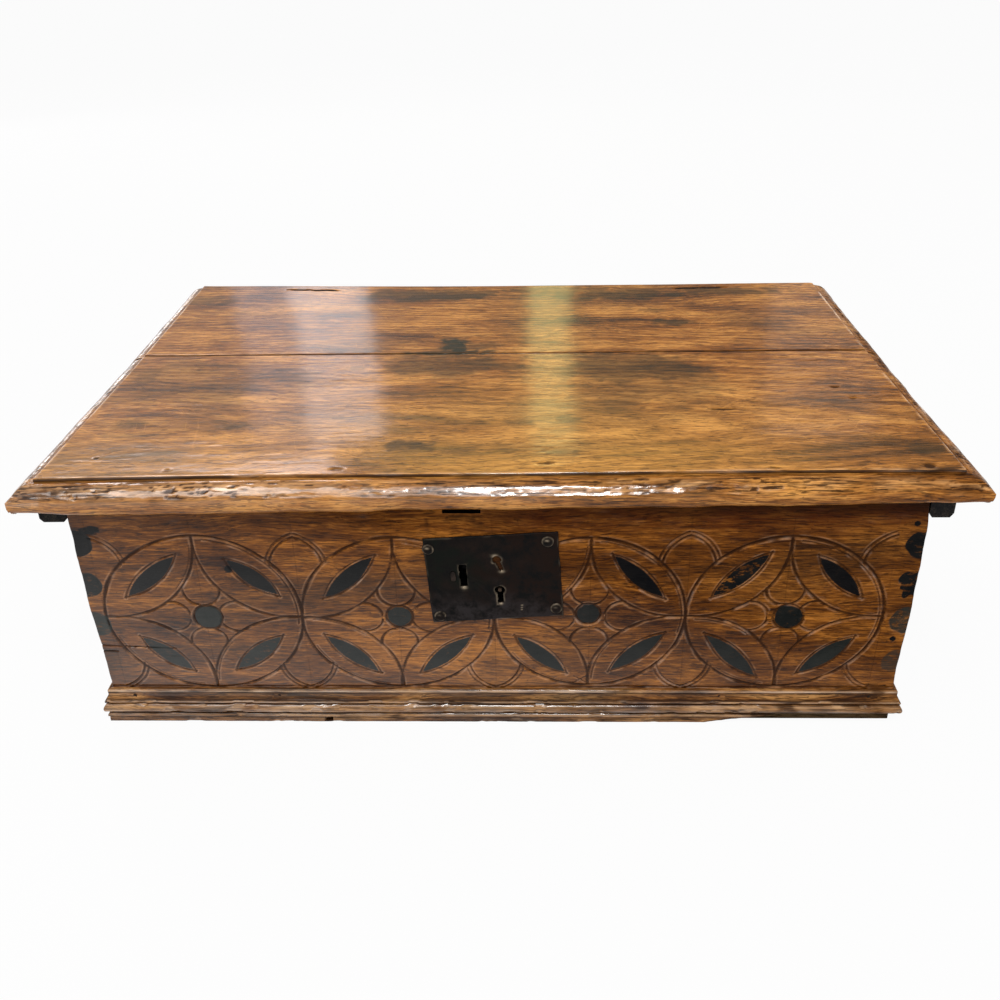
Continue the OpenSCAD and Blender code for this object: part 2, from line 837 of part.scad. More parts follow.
module box_hinge_pin() {
    at_box_pin() {
        eye(box_eye_r);
        translate([0, leg_off, 0])
            hinge_leg(box_eye_r - eye_weld, box_leg_up, 90 + box_shank_tilt, box_clinch_up);
        mirror([0, 1, 0]) translate([0, leg_off, 0])
            hinge_leg(box_eye_r - eye_weld, box_leg_down, 90 - box_shank_tilt, box_clinch_down);
    }
}

module lid_hinge_hole() {
    groove = 2 * (lid_clinch + leg_off + 0.5);
    at_lid_pin() {
        cylinder(r = leg_bore_r, h = lid_leg_l + 3 * leg_sink);
        translate([-groove_w / 2, -groove / 2, lid_leg_l - leg_r - fit])
            cube([groove_w, groove, 4 * leg_sink]);
    }
    translate([hinge_x, pivot_y - eye_pocket_shift, box_h - eps])
        cylinder(r = eye_pocket_r, h = eye_pocket_deep + eps);
}

module box_hinge_hole() {
    exit_z = pivot_z - box_reach * tan(box_shank_tilt);
    low = exit_z - 2 * leg_off - box_clinch_down;
    at_box_pin() cylinder(r = leg_bore_r, h = box_leg_down + 3 * leg_sink);
    translate([hinge_x - groove_w / 2, inner_back_y - eps, low])
        cube([groove_w, groove_deep + eps, exit_z + 2 * leg_off + box_clinch_up - low]);
}

module left_lid_hinge_pin() color([0.15, 0.12, 0.10]) mirror([1, 0, 0]) lid_hinge_pin();

module right_lid_hinge_pin() color([0.15, 0.12, 0.10]) lid_hinge_pin();

module left_box_hinge_pin() color([0.15, 0.12, 0.10]) mirror([1, 0, 0]) box_hinge_pin();

module right_box_hinge_pin() color([0.15, 0.12, 0.10]) box_hinge_pin();

// The outline of the stop, which is also the hole for it
module stop2d(grow) {
    r = stop_w / 2 + grow;
    for (s = [-1, 1])
        translate([0, s * (stop_h - stop_w) / 2]) circle(r = r);
    translate([-r, (stop_w - stop_h) / 2]) square([2 * r, stop_h - stop_w]);
}

module lock_plate() color([0.13, 0.10, 0.09]) {
    cut = plate_t + 2 * eps;
    difference() {
        at_lock() translate([-plate_w / 2, -plate_t, -plate_h / 2]) cube([plate_w, plate_t, plate_h]);
        at_lock() translate([0, eps, 0]) {
            translate([slot_x - slot_w / 2, -cut, slot_z - slot_h / 2]) cube([slot_w, cut, slot_h]);
            translate([key_x, 0, key_z]) rotate([90, 0, 0]) cylinder(r = key_r, h = cut);
            translate([key_x - key_w / 2, -cut, key_z - key_l]) cube([key_w, cut, key_l]);
            translate([old_key_x, 0, old_key_z]) rotate([90, 0, 0]) cylinder(r = old_key_r, h = cut);
            translate([old_key_x, -cut, old_key_z]) rotate([0, -old_key_tilt, 0])
                translate([-old_key_w / 2, 0, -old_key_l]) cube([old_key_w, cut, old_key_l]);
            translate([stop_x, 0, stop_z]) rotate([90, 0, 0]) linear_extrude(cut) stop2d(fit / 2);
        }
        at_lock_nails() dome_nail_hole(shank_r, lock_nail_l + plate_t);
    }
}

module lock_nails() color([0.17, 0.13, 0.11]) {
    at_lock_nails() dome_nail(dome_r, dome_h, shank_r, lock_nail_l + plate_t);
}

// One strap over the bolt, standing on the back of the plate
module bolt_guide() {
    inner_y = bolt_t + 2 * bolt_gap;
    inner_h = bolt_h + 2 * bolt_gap;
    difference() {
        translate([0, 0, bolt_z - bolt_gap - guide_leg])
            cube([guide_w, inner_y + guide_t, inner_h + 2 * guide_leg]);
        translate([-eps, -eps, bolt_z - bolt_gap]) cube([guide_w + 2 * eps, inner_y + eps, inner_h]);
    }
}

module bolt_guides() color([0.22, 0.19, 0.17]) {
    at_lock()
        for (x = guide_xs)
            translate([x, 0, 0]) bolt_guide();
}

module bolt_stop() color([0.20, 0.16, 0.14]) {
    at_lock() translate([stop_x, bolt_t + 1, stop_z]) rotate([90, 0, 0])
        linear_extrude(bolt_t + 1 + plate_t + stop_proud) stop2d(0);
}

module bolt_spring() color([0.25, 0.22, 0.20]) {
    at_lock() {
        translate([spring_x, spring_in_y + spring_wide, spring_z]) rotate([90, 0, 0])
            rotate([0, 0, spring_from]) rotate_extrude(angle = spring_sweep)
                translate([spring_r - spring_t, 0]) square([spring_t, spring_wide]);
        translate([spring_foot_x, 0, spring_foot_z])
            cube([spring_foot_w, spring_wide + 2 * spring_in_y, spring_foot_h]);
    }
}

module lock_bridge() color([0.22, 0.19, 0.17]) {
    side = key_sweep + bridge_gap;
    difference() {
        at_lock() translate([key_x - side - bridge_leg, 0, key_z - bridge_w / 2])
            cube([2 * (side + bridge_leg), bridge_in_y + bridge_t, bridge_w]);
        at_lock() translate([key_x - side, -eps, key_z - bridge_w / 2 - eps])
            cube([2 * side, bridge_in_y + eps, bridge_w + 2 * eps]);
        at_lock() translate([key_x, bridge_in_y + bridge_t + eps, key_z]) rotate([90, 0, 0])
            cylinder(r = key_pin_r + fit / 2, h = bridge_t + 2 * eps);
    }
}

module key_pin() color([0.35, 0.30, 0.24]) {
    at_lock() translate([key_x, bridge_in_y + bridge_t, key_z]) rotate([90, 0, 0]) {
        cylinder(r = key_pin_r, h = bridge_in_y + bridge_t + plate_t - pin_short);
        translate([0, 0, -pin_head_t]) cylinder(r = pin_head_r, h = pin_head_t);
    }
}

module lock_bolt() color([0.24, 0.21, 0.19]) {
    at_lock() difference() {
        translate([bolt_tip, bolt_y, bolt_z]) cube([bolt_end - bolt_tip, bolt_t, bolt_h]);
        translate([talon_x, bolt_y + bolt_t + eps, bolt_z]) rotate([90, 0, 0])
            linear_extrude(bolt_t + 2 * eps)
                polygon([
                    [-talon_w / 2 - 1, -eps], [talon_w / 2 + 1, -eps],
                    [talon_w / 2 - 1, talon_h], [1 - talon_w / 2, talon_h],
                ]);
    }
}

front_board();
back_board();
left_end_board();
right_end_board();
bottom_front_board();
bottom_rear_board();
front_plinth();
left_plinth();
right_plinth();
front_nails();
back_nails();
bottom_nails();
plinth_nails();
left_box_hinge_pin();
right_box_hinge_pin();
lock_plate();
lock_nails();
bolt_guides();
bolt_stop();
bolt_spring();
lock_bridge();
key_pin();
lock_bolt();
lid_front_board();
lid_rear_board();
left_batten();
right_batten();
batten_nails();
left_lid_hinge_pin();
right_lid_hinge_pin();
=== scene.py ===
# %% [markdown]
# # A carved oak bible box
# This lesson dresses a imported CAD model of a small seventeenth-century oak box.
# The CAD part brings the boards, the lock and the hinges in their true sizes.
# What it can't bring is age: rounded arrises, hand-cut lines that waver, wax, dirt and paint.
# Each cell below makes one of those things, and the cell before it says why it is made that way.

import functools
import math

import bmesh
import bpy
import numpy as np
from mathutils import Matrix, Vector


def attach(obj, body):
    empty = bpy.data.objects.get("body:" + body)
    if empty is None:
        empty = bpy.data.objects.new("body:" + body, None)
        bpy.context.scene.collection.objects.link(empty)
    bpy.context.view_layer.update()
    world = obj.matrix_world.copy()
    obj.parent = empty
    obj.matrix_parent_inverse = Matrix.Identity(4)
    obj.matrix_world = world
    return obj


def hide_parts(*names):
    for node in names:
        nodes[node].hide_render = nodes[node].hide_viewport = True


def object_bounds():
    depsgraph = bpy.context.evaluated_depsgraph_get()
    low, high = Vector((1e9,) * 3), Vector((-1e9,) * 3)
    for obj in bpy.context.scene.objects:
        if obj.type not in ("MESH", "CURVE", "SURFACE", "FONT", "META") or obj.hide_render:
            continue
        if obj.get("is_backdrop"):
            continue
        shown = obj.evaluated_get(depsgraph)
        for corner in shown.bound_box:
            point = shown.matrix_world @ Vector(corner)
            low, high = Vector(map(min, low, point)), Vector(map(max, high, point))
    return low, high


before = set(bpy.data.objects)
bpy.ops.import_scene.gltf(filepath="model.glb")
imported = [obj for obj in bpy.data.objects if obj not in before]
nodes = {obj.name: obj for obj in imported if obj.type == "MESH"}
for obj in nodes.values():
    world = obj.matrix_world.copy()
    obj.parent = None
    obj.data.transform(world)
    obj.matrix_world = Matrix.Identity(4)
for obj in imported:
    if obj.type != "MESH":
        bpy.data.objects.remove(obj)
cad_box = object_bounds()
MM = 0.001
print("nodes", len(nodes), "box", [round(v, 4) for corner in cad_box for v in corner])

# %% [markdown]
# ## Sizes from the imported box
# Every piece made here sits on, in or over a board of the CAD. Its sizes could be copied by hand,
# but then a changed box would leave the looks behind. So they are measured on the CAD's own boards,
# in millimetres, the unit of every shape below. Wear, cuts and stains have no counterpart in the
# CAD, and their places are read off the photograph.

# %% Measure the boards
def cad_size(node):
    """The low and the high corner of a CAD node at rest, in millimetres."""
    points = np.array([v.co for v in nodes[node].data.vertices]) / MM
    return points.min(axis=0).round(1).tolist(), points.max(axis=0).round(1).tolist()


(_, front_y, board_low), (half_box, board_back, box_top) = cad_size("front_board")
(end_in, end_front, _), _ = cad_size("right_end_board")
(_, lid_front, lid_under), (half_lid, seam_front, lid_top) = cad_size("lid_front_board")
(_, seam_rear, _), (_, lid_rear, _) = cad_size("lid_rear_board")
_, plinth_rear, plinth_top = cad_size("right_plinth")[1]
batten_in = cad_size("right_batten")[0][0]
plate_thick = front_y - cad_size("lock_plate")[0][1]
print("front board", 2 * half_box, "by", box_top - board_low, "mm")
print("lid", 2 * half_lid, "by", lid_rear - lid_front, "mm")

# %% [markdown]
# ## The camera
# The photograph was taken from well above the front, a little to the right of its middle.
# A camera can be placed by eye, or solved from corners whose places are known.
# Here it was solved, because then every later difference is a fault of the model and not of the view.
# The image's middle lies slightly below the lens axis, which is what a small shift stands for.

# %% Place the camera
eye = Vector((0.0307, -0.8950, 0.6019))
yaw, pitch, roll = (math.radians(a) for a in (-2.085, 27.206, 1.291))
ahead = Vector((math.sin(yaw) * math.cos(pitch), math.cos(yaw) * math.cos(pitch), -math.sin(pitch)))
level = Vector((math.cos(yaw), -math.sin(yaw), 0))
down = ahead.cross(level)
right = math.cos(roll) * level + math.sin(roll) * down
down = math.cos(roll) * down - math.sin(roll) * level
lens = bpy.data.cameras.new("view")
lens.sensor_width, lens.lens, lens.shift_y, lens.clip_start = 36, 36.45, -0.05, 0.01
camera = bpy.data.objects.new("view", lens)
camera.matrix_world = Matrix.Translation(eye) @ Matrix((right, -down, -ahead)).transposed().to_4x4()
bpy.context.scene.collection.objects.link(camera)
bpy.context.scene.camera = camera
bpy.context.scene.view_settings.view_transform = "Standard"
print("camera", [round(v, 3) for v in eye])

# %% [markdown]
# ## Shader maths in plain Python
# A material here is a formula: grain, wax and dirt are values that are added, multiplied and mixed.
# Linking Math nodes by hand hides that formula, so one small class wraps a socket and lets Python
# operators add the nodes. Colours never go through a Math node, which would turn them grey.

# %% A socket that can be calculated with
class Wire:
    """One output of a material's node tree, which arithmetic can be done on."""

    def __init__(self, socket):
        self.socket = socket
        self.tree = socket.id_data

    def node(self, kind, settings=None, sockets=None, out=0):
        """Adds a node of that type, sets its settings and then its sockets, and returns one output."""
        made = self.tree.nodes.new(kind)
        for key, value in (settings or {}).items():
            if key == "stops":
                ramp = made.color_ramp
                while len(ramp.elements) < len(value):
                    ramp.elements.new(1.0)
                for element, (place, colour) in zip(ramp.elements, value):
                    element.position, element.color = place, (*colour, 1.0)
            else:
                setattr(made, key, value)
        for key, value in (sockets or {}).items():
            if isinstance(value, Wire):
                self.tree.links.new(value.socket, made.inputs[key])
            else:
                made.inputs[key].default_value = value
        return Wire(made.outputs[out])

    def math(self, operation, *values, clamp=False):
        """One step of arithmetic on these values."""
        return self.node("ShaderNodeMath", {"operation": operation, "use_clamp": clamp},
                         dict(enumerate(values)))

    def __add__(self, other):
        return self.math("ADD", self, other)

    def __sub__(self, other):
        return self.math("SUBTRACT", self, other)

    def __rsub__(self, other):
        return self.math("SUBTRACT", other, self)

    def __mul__(self, other):
        return self.math("MULTIPLY", self, other)

    __radd__, __rmul__ = __add__, __mul__

    def clamp(self):
        """The value, held between 0 and 1."""
        return self.math("ADD", self, 0.0, clamp=True)

    def root(self):
        """The square root."""
        return self.math("SQRT", self)

    def wave(self):
        """The sine, which makes bands of equal width."""
        return self.math("SINE", self)

    def parts(self):
        """The x, y and z of a position."""
        split = self.node("ShaderNodeSeparateXYZ", {}, {"Vector": self}).socket.node
        return [Wire(one) for one in split.outputs]

    def turned(self, y=0.0, z=0.0):
        """The same position, turned by angles in degrees."""
        angles = (0.0, math.radians(y), math.radians(z))
        return self.node("ShaderNodeMapping", {"vector_type": "POINT"}, {"Vector": self, "Rotation": angles})

    def between(self, low, high):
        """0 below low, 1 above high, and a smooth step from one to the other."""
        return self.node("ShaderNodeMapRange", {"interpolation_type": "SMOOTHSTEP"},
                         {"Value": self, "From Min": low, "From Max": high})

    def mix(self, colour, factor):
        """This colour with another one laid over it."""
        over = colour if isinstance(colour, Wire) else (*colour, 1.0)
        return self.node("ShaderNodeMix", {"data_type": "RGBA"}, {0: factor, 6: self, 7: over}, out=2)

    def tinted(self, *stops):
        """A colour that runs through stops, each of them a value and its colour."""
        return self.node("ShaderNodeValToRGB", {"stops": stops}, {"Fac": self})

    def bump(self, strength, distance):
        """A surface that looks raised by this height, where 1 stands for that many millimetres."""
        return self.node("ShaderNodeBump", {},
                         {"Strength": strength, "Distance": distance * MM, "Height": self})

    def noise(self, stretch, detail=3.0, rough=0.55, seed=0.0):
        """Noise in 0 to 1 on a position, with that many lumps per metre along x, y and z."""
        place = self.node("ShaderNodeMapping", {"vector_type": "POINT"},
                          {"Vector": self, "Scale": stretch, "Location": (seed, seed * 1.7, seed * 0.6)})
        return self.node("ShaderNodeTexNoise", {},
                         {"Vector": place, "Scale": 1.0, "Detail": detail, "Roughness": rough})


def new_material(name):
    """An empty material: the position on the object, the shader, and the material itself."""
    made = bpy.data.materials.new(name)
    made.use_nodes = True
    tree = made.node_tree
    tree.nodes.clear()
    place = Wire(tree.nodes.new("ShaderNodeTexCoord").outputs["Object"])
    shader = tree.nodes.new("ShaderNodeBsdfPrincipled")
    end = tree.nodes.new("ShaderNodeOutputMaterial")
    tree.links.new(shader.outputs[0], end.inputs[0])
    return place, shader, made


def plug(shader, **sockets):
    """Sets or links the shader's sockets; Base_Color stands for Base Color."""
    for key, value in sockets.items():
        socket = shader.inputs[key.replace("_", " ")]
        if isinstance(value, Wire):
            shader.id_data.links.new(value.socket, socket)
        else:
            socket.default_value = (*value, 1.0) if isinstance(value, tuple) else value


def mark(place, name):
    """A value that a mesh carries on its points, or 0 on a mesh that doesn't have it."""
    return place.node("ShaderNodeAttribute", {"attribute_name": name}, out=2)


print("shader helpers ready")

# %% [markdown]
# ## Oak
# Old waxed oak has four layers of detail. Long soft streaks of colour run with the grain, the yearly
# rings show as arches where the saw cut across them, thousands of pores make short dark dashes, and
# wax and dirt gather in every hollow. A picture of oak would repeat and smear round corners.
# A solid texture, worked out from the position in the board, runs right through the end grain as
# real wood does, so one recipe serves every board, turned to the way its grain runs.
# What belongs to one place, such as dirt, painted shade, a stain, a worn arris or a painted highlight,
# is a value on the mesh's points.
# The wax is the shader's coat. Its index is set high, so that a thin coat still mirrors the lamps.

# %% The oak recipe
ring_pace = 780.0  # radians in a metre, so a yearly ring every 8 mm
# Brown for dirt and for painted shade.
dirt_and_shade_brown = (0.026, 0.009, 0.003)
old_stain = (0.026, 0.025, 0.012)
hand_cloud = (0.055, 0.038, 0.014)


def oak(name, along, dark, mid, light, seed, wax=0.15, gloss=0.05, rough=0.42, streaks=1.0, patch=0.6,
        pores=0.7, relief=0.3, pith=(0.1, -0.05), lean=0.10, murk=0.4, scratches=0.0, drift=(0.0, 0.0),
        polish=0.0, wax_rough=0.16, contrast=1.6, rings=0.10, glow=(0.80, 0.44, 0.085), painted_light_strength=0.4,
        paint=False):
    """Waxed oak. along is the axis its grain follows, pith the place of the tree's middle across the
    board, and lean how fast the board runs out of the rings. wax is the weight of the coat, drift how
    fast it wears off to the right and upwards, murk the strength of the clouds that handling left,
    polish how much more the coat shines on worn wood and painted highlights, and glow the colour of the
    painted light and shade that the mark warm brings, at painted_light_strength."""
    place, shader, made = new_material(name)
    wood = {"x": place, "y": place.turned(z=-90), "z": place.turned(y=90)}[along]
    length, across, through = wood.parts()
    wander = wood.noise((2.5, 8.0, 8.0), 3.0, 0.5, seed)
    swirl = wood.noise((7.0, 16.0, 16.0), 2.0, 0.5, seed + 1.0) - 0.5
    bent = wood.node("ShaderNodeCombineXYZ", {}, {"X": length, "Y": across + swirl * 0.022,
                                                  "Z": through + swirl * 0.022})
    side = across + swirl * 0.03 + wander * 0.04 - pith[0]
    depth = through + length * lean + wander * 0.02 - pith[1]
    year = ((side * side + depth * depth).root() * ring_pace + wander * 10.0).wave()
    broad = bent.noise((3.5, 42.0, 42.0), 4.0, 0.6, seed + 3.0)
    streak = bent.noise((18.0, 340.0, 340.0), 4.0, 0.62, seed + 4.0)
    fine = bent.noise((58.0, 900.0, 900.0), 3.0, 0.65, seed + 5.0)
    pore = bent.noise((110.0, 950.0, 950.0), 2.0, 0.55, seed + 7.0).between(0.56, 0.63)
    dash = bent.noise((70.0, 800.0, 800.0), 1.0, 0.5, seed + 9.0).between(0.60, 0.63)
    cloud = wood.noise((8.0, 26.0, 26.0), 6.0, 0.60, seed + 11.0)
    speck = place.noise((210.0, 260.0, 260.0), 2.0, 0.5, seed + 13.0).between(0.70, 0.75)
    tone = (broad - 0.5) * (1.2 * streaks) + (streak - 0.5) * (1.7 * streaks) + (fine - 0.5) * contrast
    tone = tone + (cloud - 0.5) * (2.6 * patch) + year * rings + 0.5
    colour = tone.tinted((0.14, dark), (0.48, mid), (0.86, light))
    # Painted light and shade: a golden pool on the lid and a dark red band under it on the front.
    colour = colour.mix(glow, mark(place, "warm").clamp() * painted_light_strength)
    gloom = wood.noise((6.0, 17.0, 17.0), 5.0, 0.62, seed + 15.0).between(0.48, 0.72)
    colour = colour.mix(hand_cloud, gloom * murk)
    pore_brown = tuple(c * 0.30 for c in dark)
    colour = colour.mix(pore_brown, (pore * 0.5 + dash * 0.85 + speck * 0.7).clamp() * pores)
    if scratches:
        behind_edge = ((lid_front + 17.5) * MM, (lid_front + 21.5) * MM)
        loose = place.node("ShaderNodeCombineXYZ", {},
                           {"X": length + wander * 0.05, "Y": across + swirl * 0.03, "Z": 0.0})
        for turn, much in ((24, 5.0), (71, 7.0), (-52, 6.0)):
            thin = loose.turned(z=turn).noise((much, 520.0, 1.0), 1.0, 0.5, seed + turn).between(0.690, 0.715)
            colour = colour.mix(light, thin * cloud.between(0.42, 0.60) * across.between(*behind_edge)
                                * scratches)
    dirt, rub, stain, lip = (mark(place, what) for what in ("dirt", "rub", "stain", "lip"))
    fibre = wood.noise((34.0, 620.0, 620.0), 3.0, 0.6, seed + 21.0)
    crack = wood.noise((16.0, 240.0, 240.0), 4.0, 0.65, seed + 23.0).between(0.60, 0.65)
    dirt = ((fibre.between(0.51, 0.59) * 0.9 + crack) * lip + dirt).clamp()
    # Paler wood for worn arrises and for painted highlights.
    pale_wood = tuple(1.15 * c + more for c, more in zip(light, (0.03, 0.06, 0.06)))
    colour = colour.mix(pale_wood, (rub * (fine * 1.3 + 0.30)).clamp())
    # The dark brown of dirt, and of the painted shade in cuts, hollows and under the lid.
    colour = colour.mix(dirt_and_shade_brown, dirt * 0.9)
    colour = colour.mix(old_stain, (stain * (0.25 + streak * 1.4)).clamp())
    rest = (fine - 0.5) * 0.25 + (cloud - 0.5) * 0.25 + rough
    if paint:
        cover = mark(place, "paint")
        flake = place.noise((150.0, 150.0, 330.0), 4.0, 0.7, 2.0)
        worn = (cover * 1.2 - flake.between(0.50, 0.66) * mark(place, "worn")).clamp()
        film = place.noise((60.0, 60.0, 90.0), 4.0, 0.65, 9.0)
        black = film.tinted((0.3, (0.001, 0.001, 0.002)), (0.7, (0.006, 0.005, 0.005)))
        green = film.tinted((0.3, (0.018, 0.023, 0.020)), (0.7, (0.036, 0.040, 0.034)))
        colour = colour.mix(black.mix(green, mark(place, "pale")), worn)
        rest = rest + worn * 0.10
    if drift != (0.0, 0.0):
        left_right, _, up = place.parts()
        wax = (left_right * -drift[0] + up * -drift[1] + wax).clamp()
    height = streak * 0.35 + fine * 0.45 - pore * 0.35 - dash * 0.6 + year * 0.03
    bump = (height - (fibre * 2.0 + crack) * lip).bump(0.9, relief)
    if paint:
        wax = wax * (1.0 - worn * 0.25)
    plug(shader, Base_Color=colour, Roughness=(rest + dirt * 0.25 + stain * 0.1 - rub * 0.08).clamp(),
         Coat_Weight=((rub + mark(place, "shine")) * polish + wax) * (1.0 - dirt * 0.6),
         Coat_Roughness=wax_rough, Coat_IOR=2.0, Specular_IOR_Level=gloss, Normal=bump)
    return made


# The front's glow is the dark red of the painted shade under the lid.
carved_oak = oak("carved_oak", "x", (0.034, 0.008, 0.001), (0.170, 0.052, 0.006), (0.510, 0.186, 0.028), 1.0,
                 wax=0.475, drift=(0.89, 2.8), patch=0.52, pores=0.62, pith=(0.02, 0.03), murk=0.2,
                 relief=0.45, polish=0.7, streaks=0.45, contrast=1.0, rings=0.05,
                 glow=(0.060, 0.008, 0.0004), painted_light_strength=0.9, paint=True)
# The lid keeps the default glow, the golden colour of its painted light.
lid_oak = oak("lid_oak", "x", (0.050, 0.014, 0.002), (0.340, 0.116, 0.017), (0.740, 0.330, 0.074), 4.0,
              wax=0.22, drift=(0.45, 0.0), rough=0.36, pith=(-0.12, 0.17), patch=0.62, murk=0.32,
              scratches=0.30, streaks=0.38, contrast=1.15, rings=0.08, pores=0.65, relief=0.35,
              polish=0.9, wax_rough=0.12)
plinth_oak = oak("plinth_oak", "x", (0.050, 0.016, 0.003), (0.230, 0.086, 0.018), (0.520, 0.250, 0.075), 6.0,
                 wax=0.26, polish=0.9, streaks=0.6, drift=(0.6, 0.0), patch=0.7, murk=0.5, contrast=1.0)
plinth_side_oak = oak("plinth_side_oak", "y", (0.050, 0.016, 0.003), (0.230, 0.086, 0.018),
                      (0.460, 0.230, 0.080), 6.5, wax=0.12, polish=0.9, streaks=0.6, patch=0.7, murk=0.5)
board_oak = oak("board_oak", "x", (0.040, 0.014, 0.004), (0.150, 0.058, 0.014), (0.290, 0.130, 0.038), 8.0,
                wax=0.05, rough=0.50, streaks=0.6)
end_oak = oak("end_oak", "y", (0.040, 0.012, 0.003), (0.160, 0.058, 0.012), (0.310, 0.130, 0.034), 9.0,
              wax=0.1, rough=0.46, streaks=0.5)
bottom_oak = oak("bottom_oak", "x", (0.016, 0.009, 0.004), (0.065, 0.035, 0.013), (0.130, 0.080, 0.036), 12.0,
                 wax=0.0, rough=0.62, relief=0.5)
dark_oak = oak("dark_oak", "y", (0.002, 0.002, 0.003), (0.010, 0.008, 0.008), (0.040, 0.032, 0.024), 14.0,
               wax=0.05, rough=0.45, murk=0.1)
oaks = (carved_oak, lid_oak, plinth_oak, plinth_side_oak, board_oak, end_oak, bottom_oak, dark_oak)
print("oaks", [one.name for one in oaks])

# %% [markdown]
# ## Wrought iron
# Old iron that has been handled is nearly black, with a skin of brown oxide that is thicker in some
# places, hammer marks as broad shallow dents, and brighter metal where edges are rubbed. The mesh marks
# that bright metal together with painted highlights.
# It could be one dark metal, but then the plate looks like plastic: the broken gloss is what reads as
# iron. So the same noise drives the colour, the roughness and the dents. Three weak tints lie over it
# where the mesh says so: a green skin, brown rust and a grey haze that is a painted reflection.

# %% The iron recipe
# The grey haze is a painted reflection, paler towards the lower left of the plate.
patina = {"verdigris": (0.004, 0.007, 0.005), "rust": (0.013, 0.006, 0.004), "ash": (0.030, 0.026, 0.027)}


def iron(name, black, brown, rough, dents, seed, metal=0.35):
    """Wrought iron. dents is the depth of the hammer marks in millimetres, metal how much metal shows."""
    place, shader, made = new_material(name)
    skin = place.noise((110.0, 110.0, 110.0), 5.0, 0.65, seed)
    speck = place.noise((900.0, 900.0, 900.0), 3.0, 0.6, seed + 2.0)
    hammer = place.noise((90.0, 90.0, 90.0), 1.0, 0.4, seed + 4.0)
    colour = skin.tinted((0.36, black), (0.66, brown))
    colour = colour.mix(tuple(2.5 * c for c in brown), speck.between(0.66, 0.78) * 0.4)
    for layer, tint in patina.items():
        colour = colour.mix(tint, mark(place, layer) * skin.between(0.35, 0.60) * 0.8)
    bright = mark(place, "bright")
    colour = colour.mix((0.34, 0.27, 0.19), bright * 0.9)
    bump = (hammer * 0.6 + skin * 0.3 + speck * 0.05).bump(1.0, dents)
    plug(shader, Base_Color=colour, Metallic=bright * 0.5 + metal, Specular_IOR_Level=0.08,
         Roughness=(skin * 0.35 + rough - bright * 0.15).clamp(), Normal=bump)
    return made


plate_iron = iron("plate_iron", (0.004, 0.004, 0.004), (0.015, 0.009, 0.007), 0.34, 0.5, 1.0)
nail_iron = iron("nail_iron", (0.010, 0.008, 0.007), (0.040, 0.028, 0.022), 0.36, 0.4, 3.0)
works_iron = iron("works_iron", (0.040, 0.032, 0.026), (0.120, 0.070, 0.042), 0.45, 0.3, 5.0)
print("irons ready")

# %% [markdown]
# ## Unevenness that has a size
# Nothing on this box was ever quite straight, because a hand plane and a knife made it.
# Random jitter on every point only looks noisy. Wear has a size: a plane leaves waves as long as a
# hand, a chip is as wide as a fingernail. So the unevenness is made of smooth lumps of a chosen
# width, with smaller lumps on top where they are wanted.

# %% Smooth lumps
def lumps(u, v, size, seed, octaves=1):
    """Smooth unevenness of about -1 to 1 over two coordinates, in lumps of that size."""
    total = 0.0
    for k in range(octaves):
        table = np.random.default_rng(seed + 31 * k).uniform(-1.0, 1.0, (64, 64))
        turn, scale = 0.9 * k + 0.45, 2 ** k / size
        a = (np.asarray(u) * math.cos(turn) - np.asarray(v) * math.sin(turn)) * scale
        b = (np.asarray(u) * math.sin(turn) + np.asarray(v) * math.cos(turn)) * scale
        i, j = np.floor(a).astype(int), np.floor(b).astype(int)
        f, g = a - i, b - j
        f, g = f * f * (3 - 2 * f), g * g * (3 - 2 * g)
        low = table[i % 64, j % 64] * (1 - f) + table[(i + 1) % 64, j % 64] * f
        high = table[i % 64, (j + 1) % 64] * (1 - f) + table[(i + 1) % 64, (j + 1) % 64] * f
        total = total + (low * (1 - g) + high * g) / 2 ** k
    return total


def ramp(value, low, high):
    """A smooth step from 0 at low to 1 at high."""
    t = np.clip((value - low) / (high - low), 0.0, 1.0)
    return t * t * (3 - 2 * t)


def lines(low, high, pitch, exact=()):
    """Grid lines from low to high at about that pitch, with exact ones where an edge runs."""
    even = np.linspace(low, high, int(round((high - low) / pitch)) + 1)
    exact = np.array(sorted(exact))
    if len(exact):
        even = even[np.abs(even[:, None] - exact[None, :]).min(axis=1) > pitch * 0.45]
    return np.unique(np.concatenate([even, exact]))


waves = lumps(np.linspace(0, 500, 200), np.zeros(200), 50.0, 1)
print("lumps run from", round(float(waves.min()), 2), "to", round(float(waves.max()), 2))

# %% Strengths and distances
def amount(u, v, size, seed, octaves=1):
    """The same lumps as a share, from about 0 to 1."""
    return 0.5 + 0.5 * lumps(u, v, size, seed, octaves)


def patchy(middle, swing, u, v, size, seed, octaves=1):
    """A strength that swings round a middle value and is held between 0 and 1."""
    return np.clip(middle + swing * lumps(u, v, size, seed, octaves), 0, 1)


def bell(value, middle, width):
    """1 at a middle value, fading to both sides over that width."""
    return np.exp(-((value - middle) / width) ** 2)


def most(*layers):
    """The strongest of several marks at each point."""
    return functools.reduce(np.maximum, layers)


def round_off(d, r):
    """How far a surface falls away at the distance d from an edge that is rounded to the radius r."""
    return np.where(d < r, r - np.sqrt(np.maximum(r * r - (r - np.minimum(d, r)) ** 2, 0)), 0)


def from_line(x, z, start, end):
    """The distance to the straight line between two points."""
    (x0, z0), (x1, z1) = start, end
    t = np.clip(((x - x0) * (x1 - x0) + (z - z0) * (z1 - z0)) / math.hypot(x1 - x0, z1 - z0) ** 2, 0, 1)
    return np.hypot(x - x0 - t * (x1 - x0), z - z0 - t * (z1 - z0))


def in_frame(x, z, middle, turn):
    """Both coordinates of a point in a frame with that middle, turned by that angle."""
    a, b = x - middle[0], z - middle[1]
    return a * math.cos(turn) + b * math.sin(turn), b * math.cos(turn) - a * math.sin(turn)


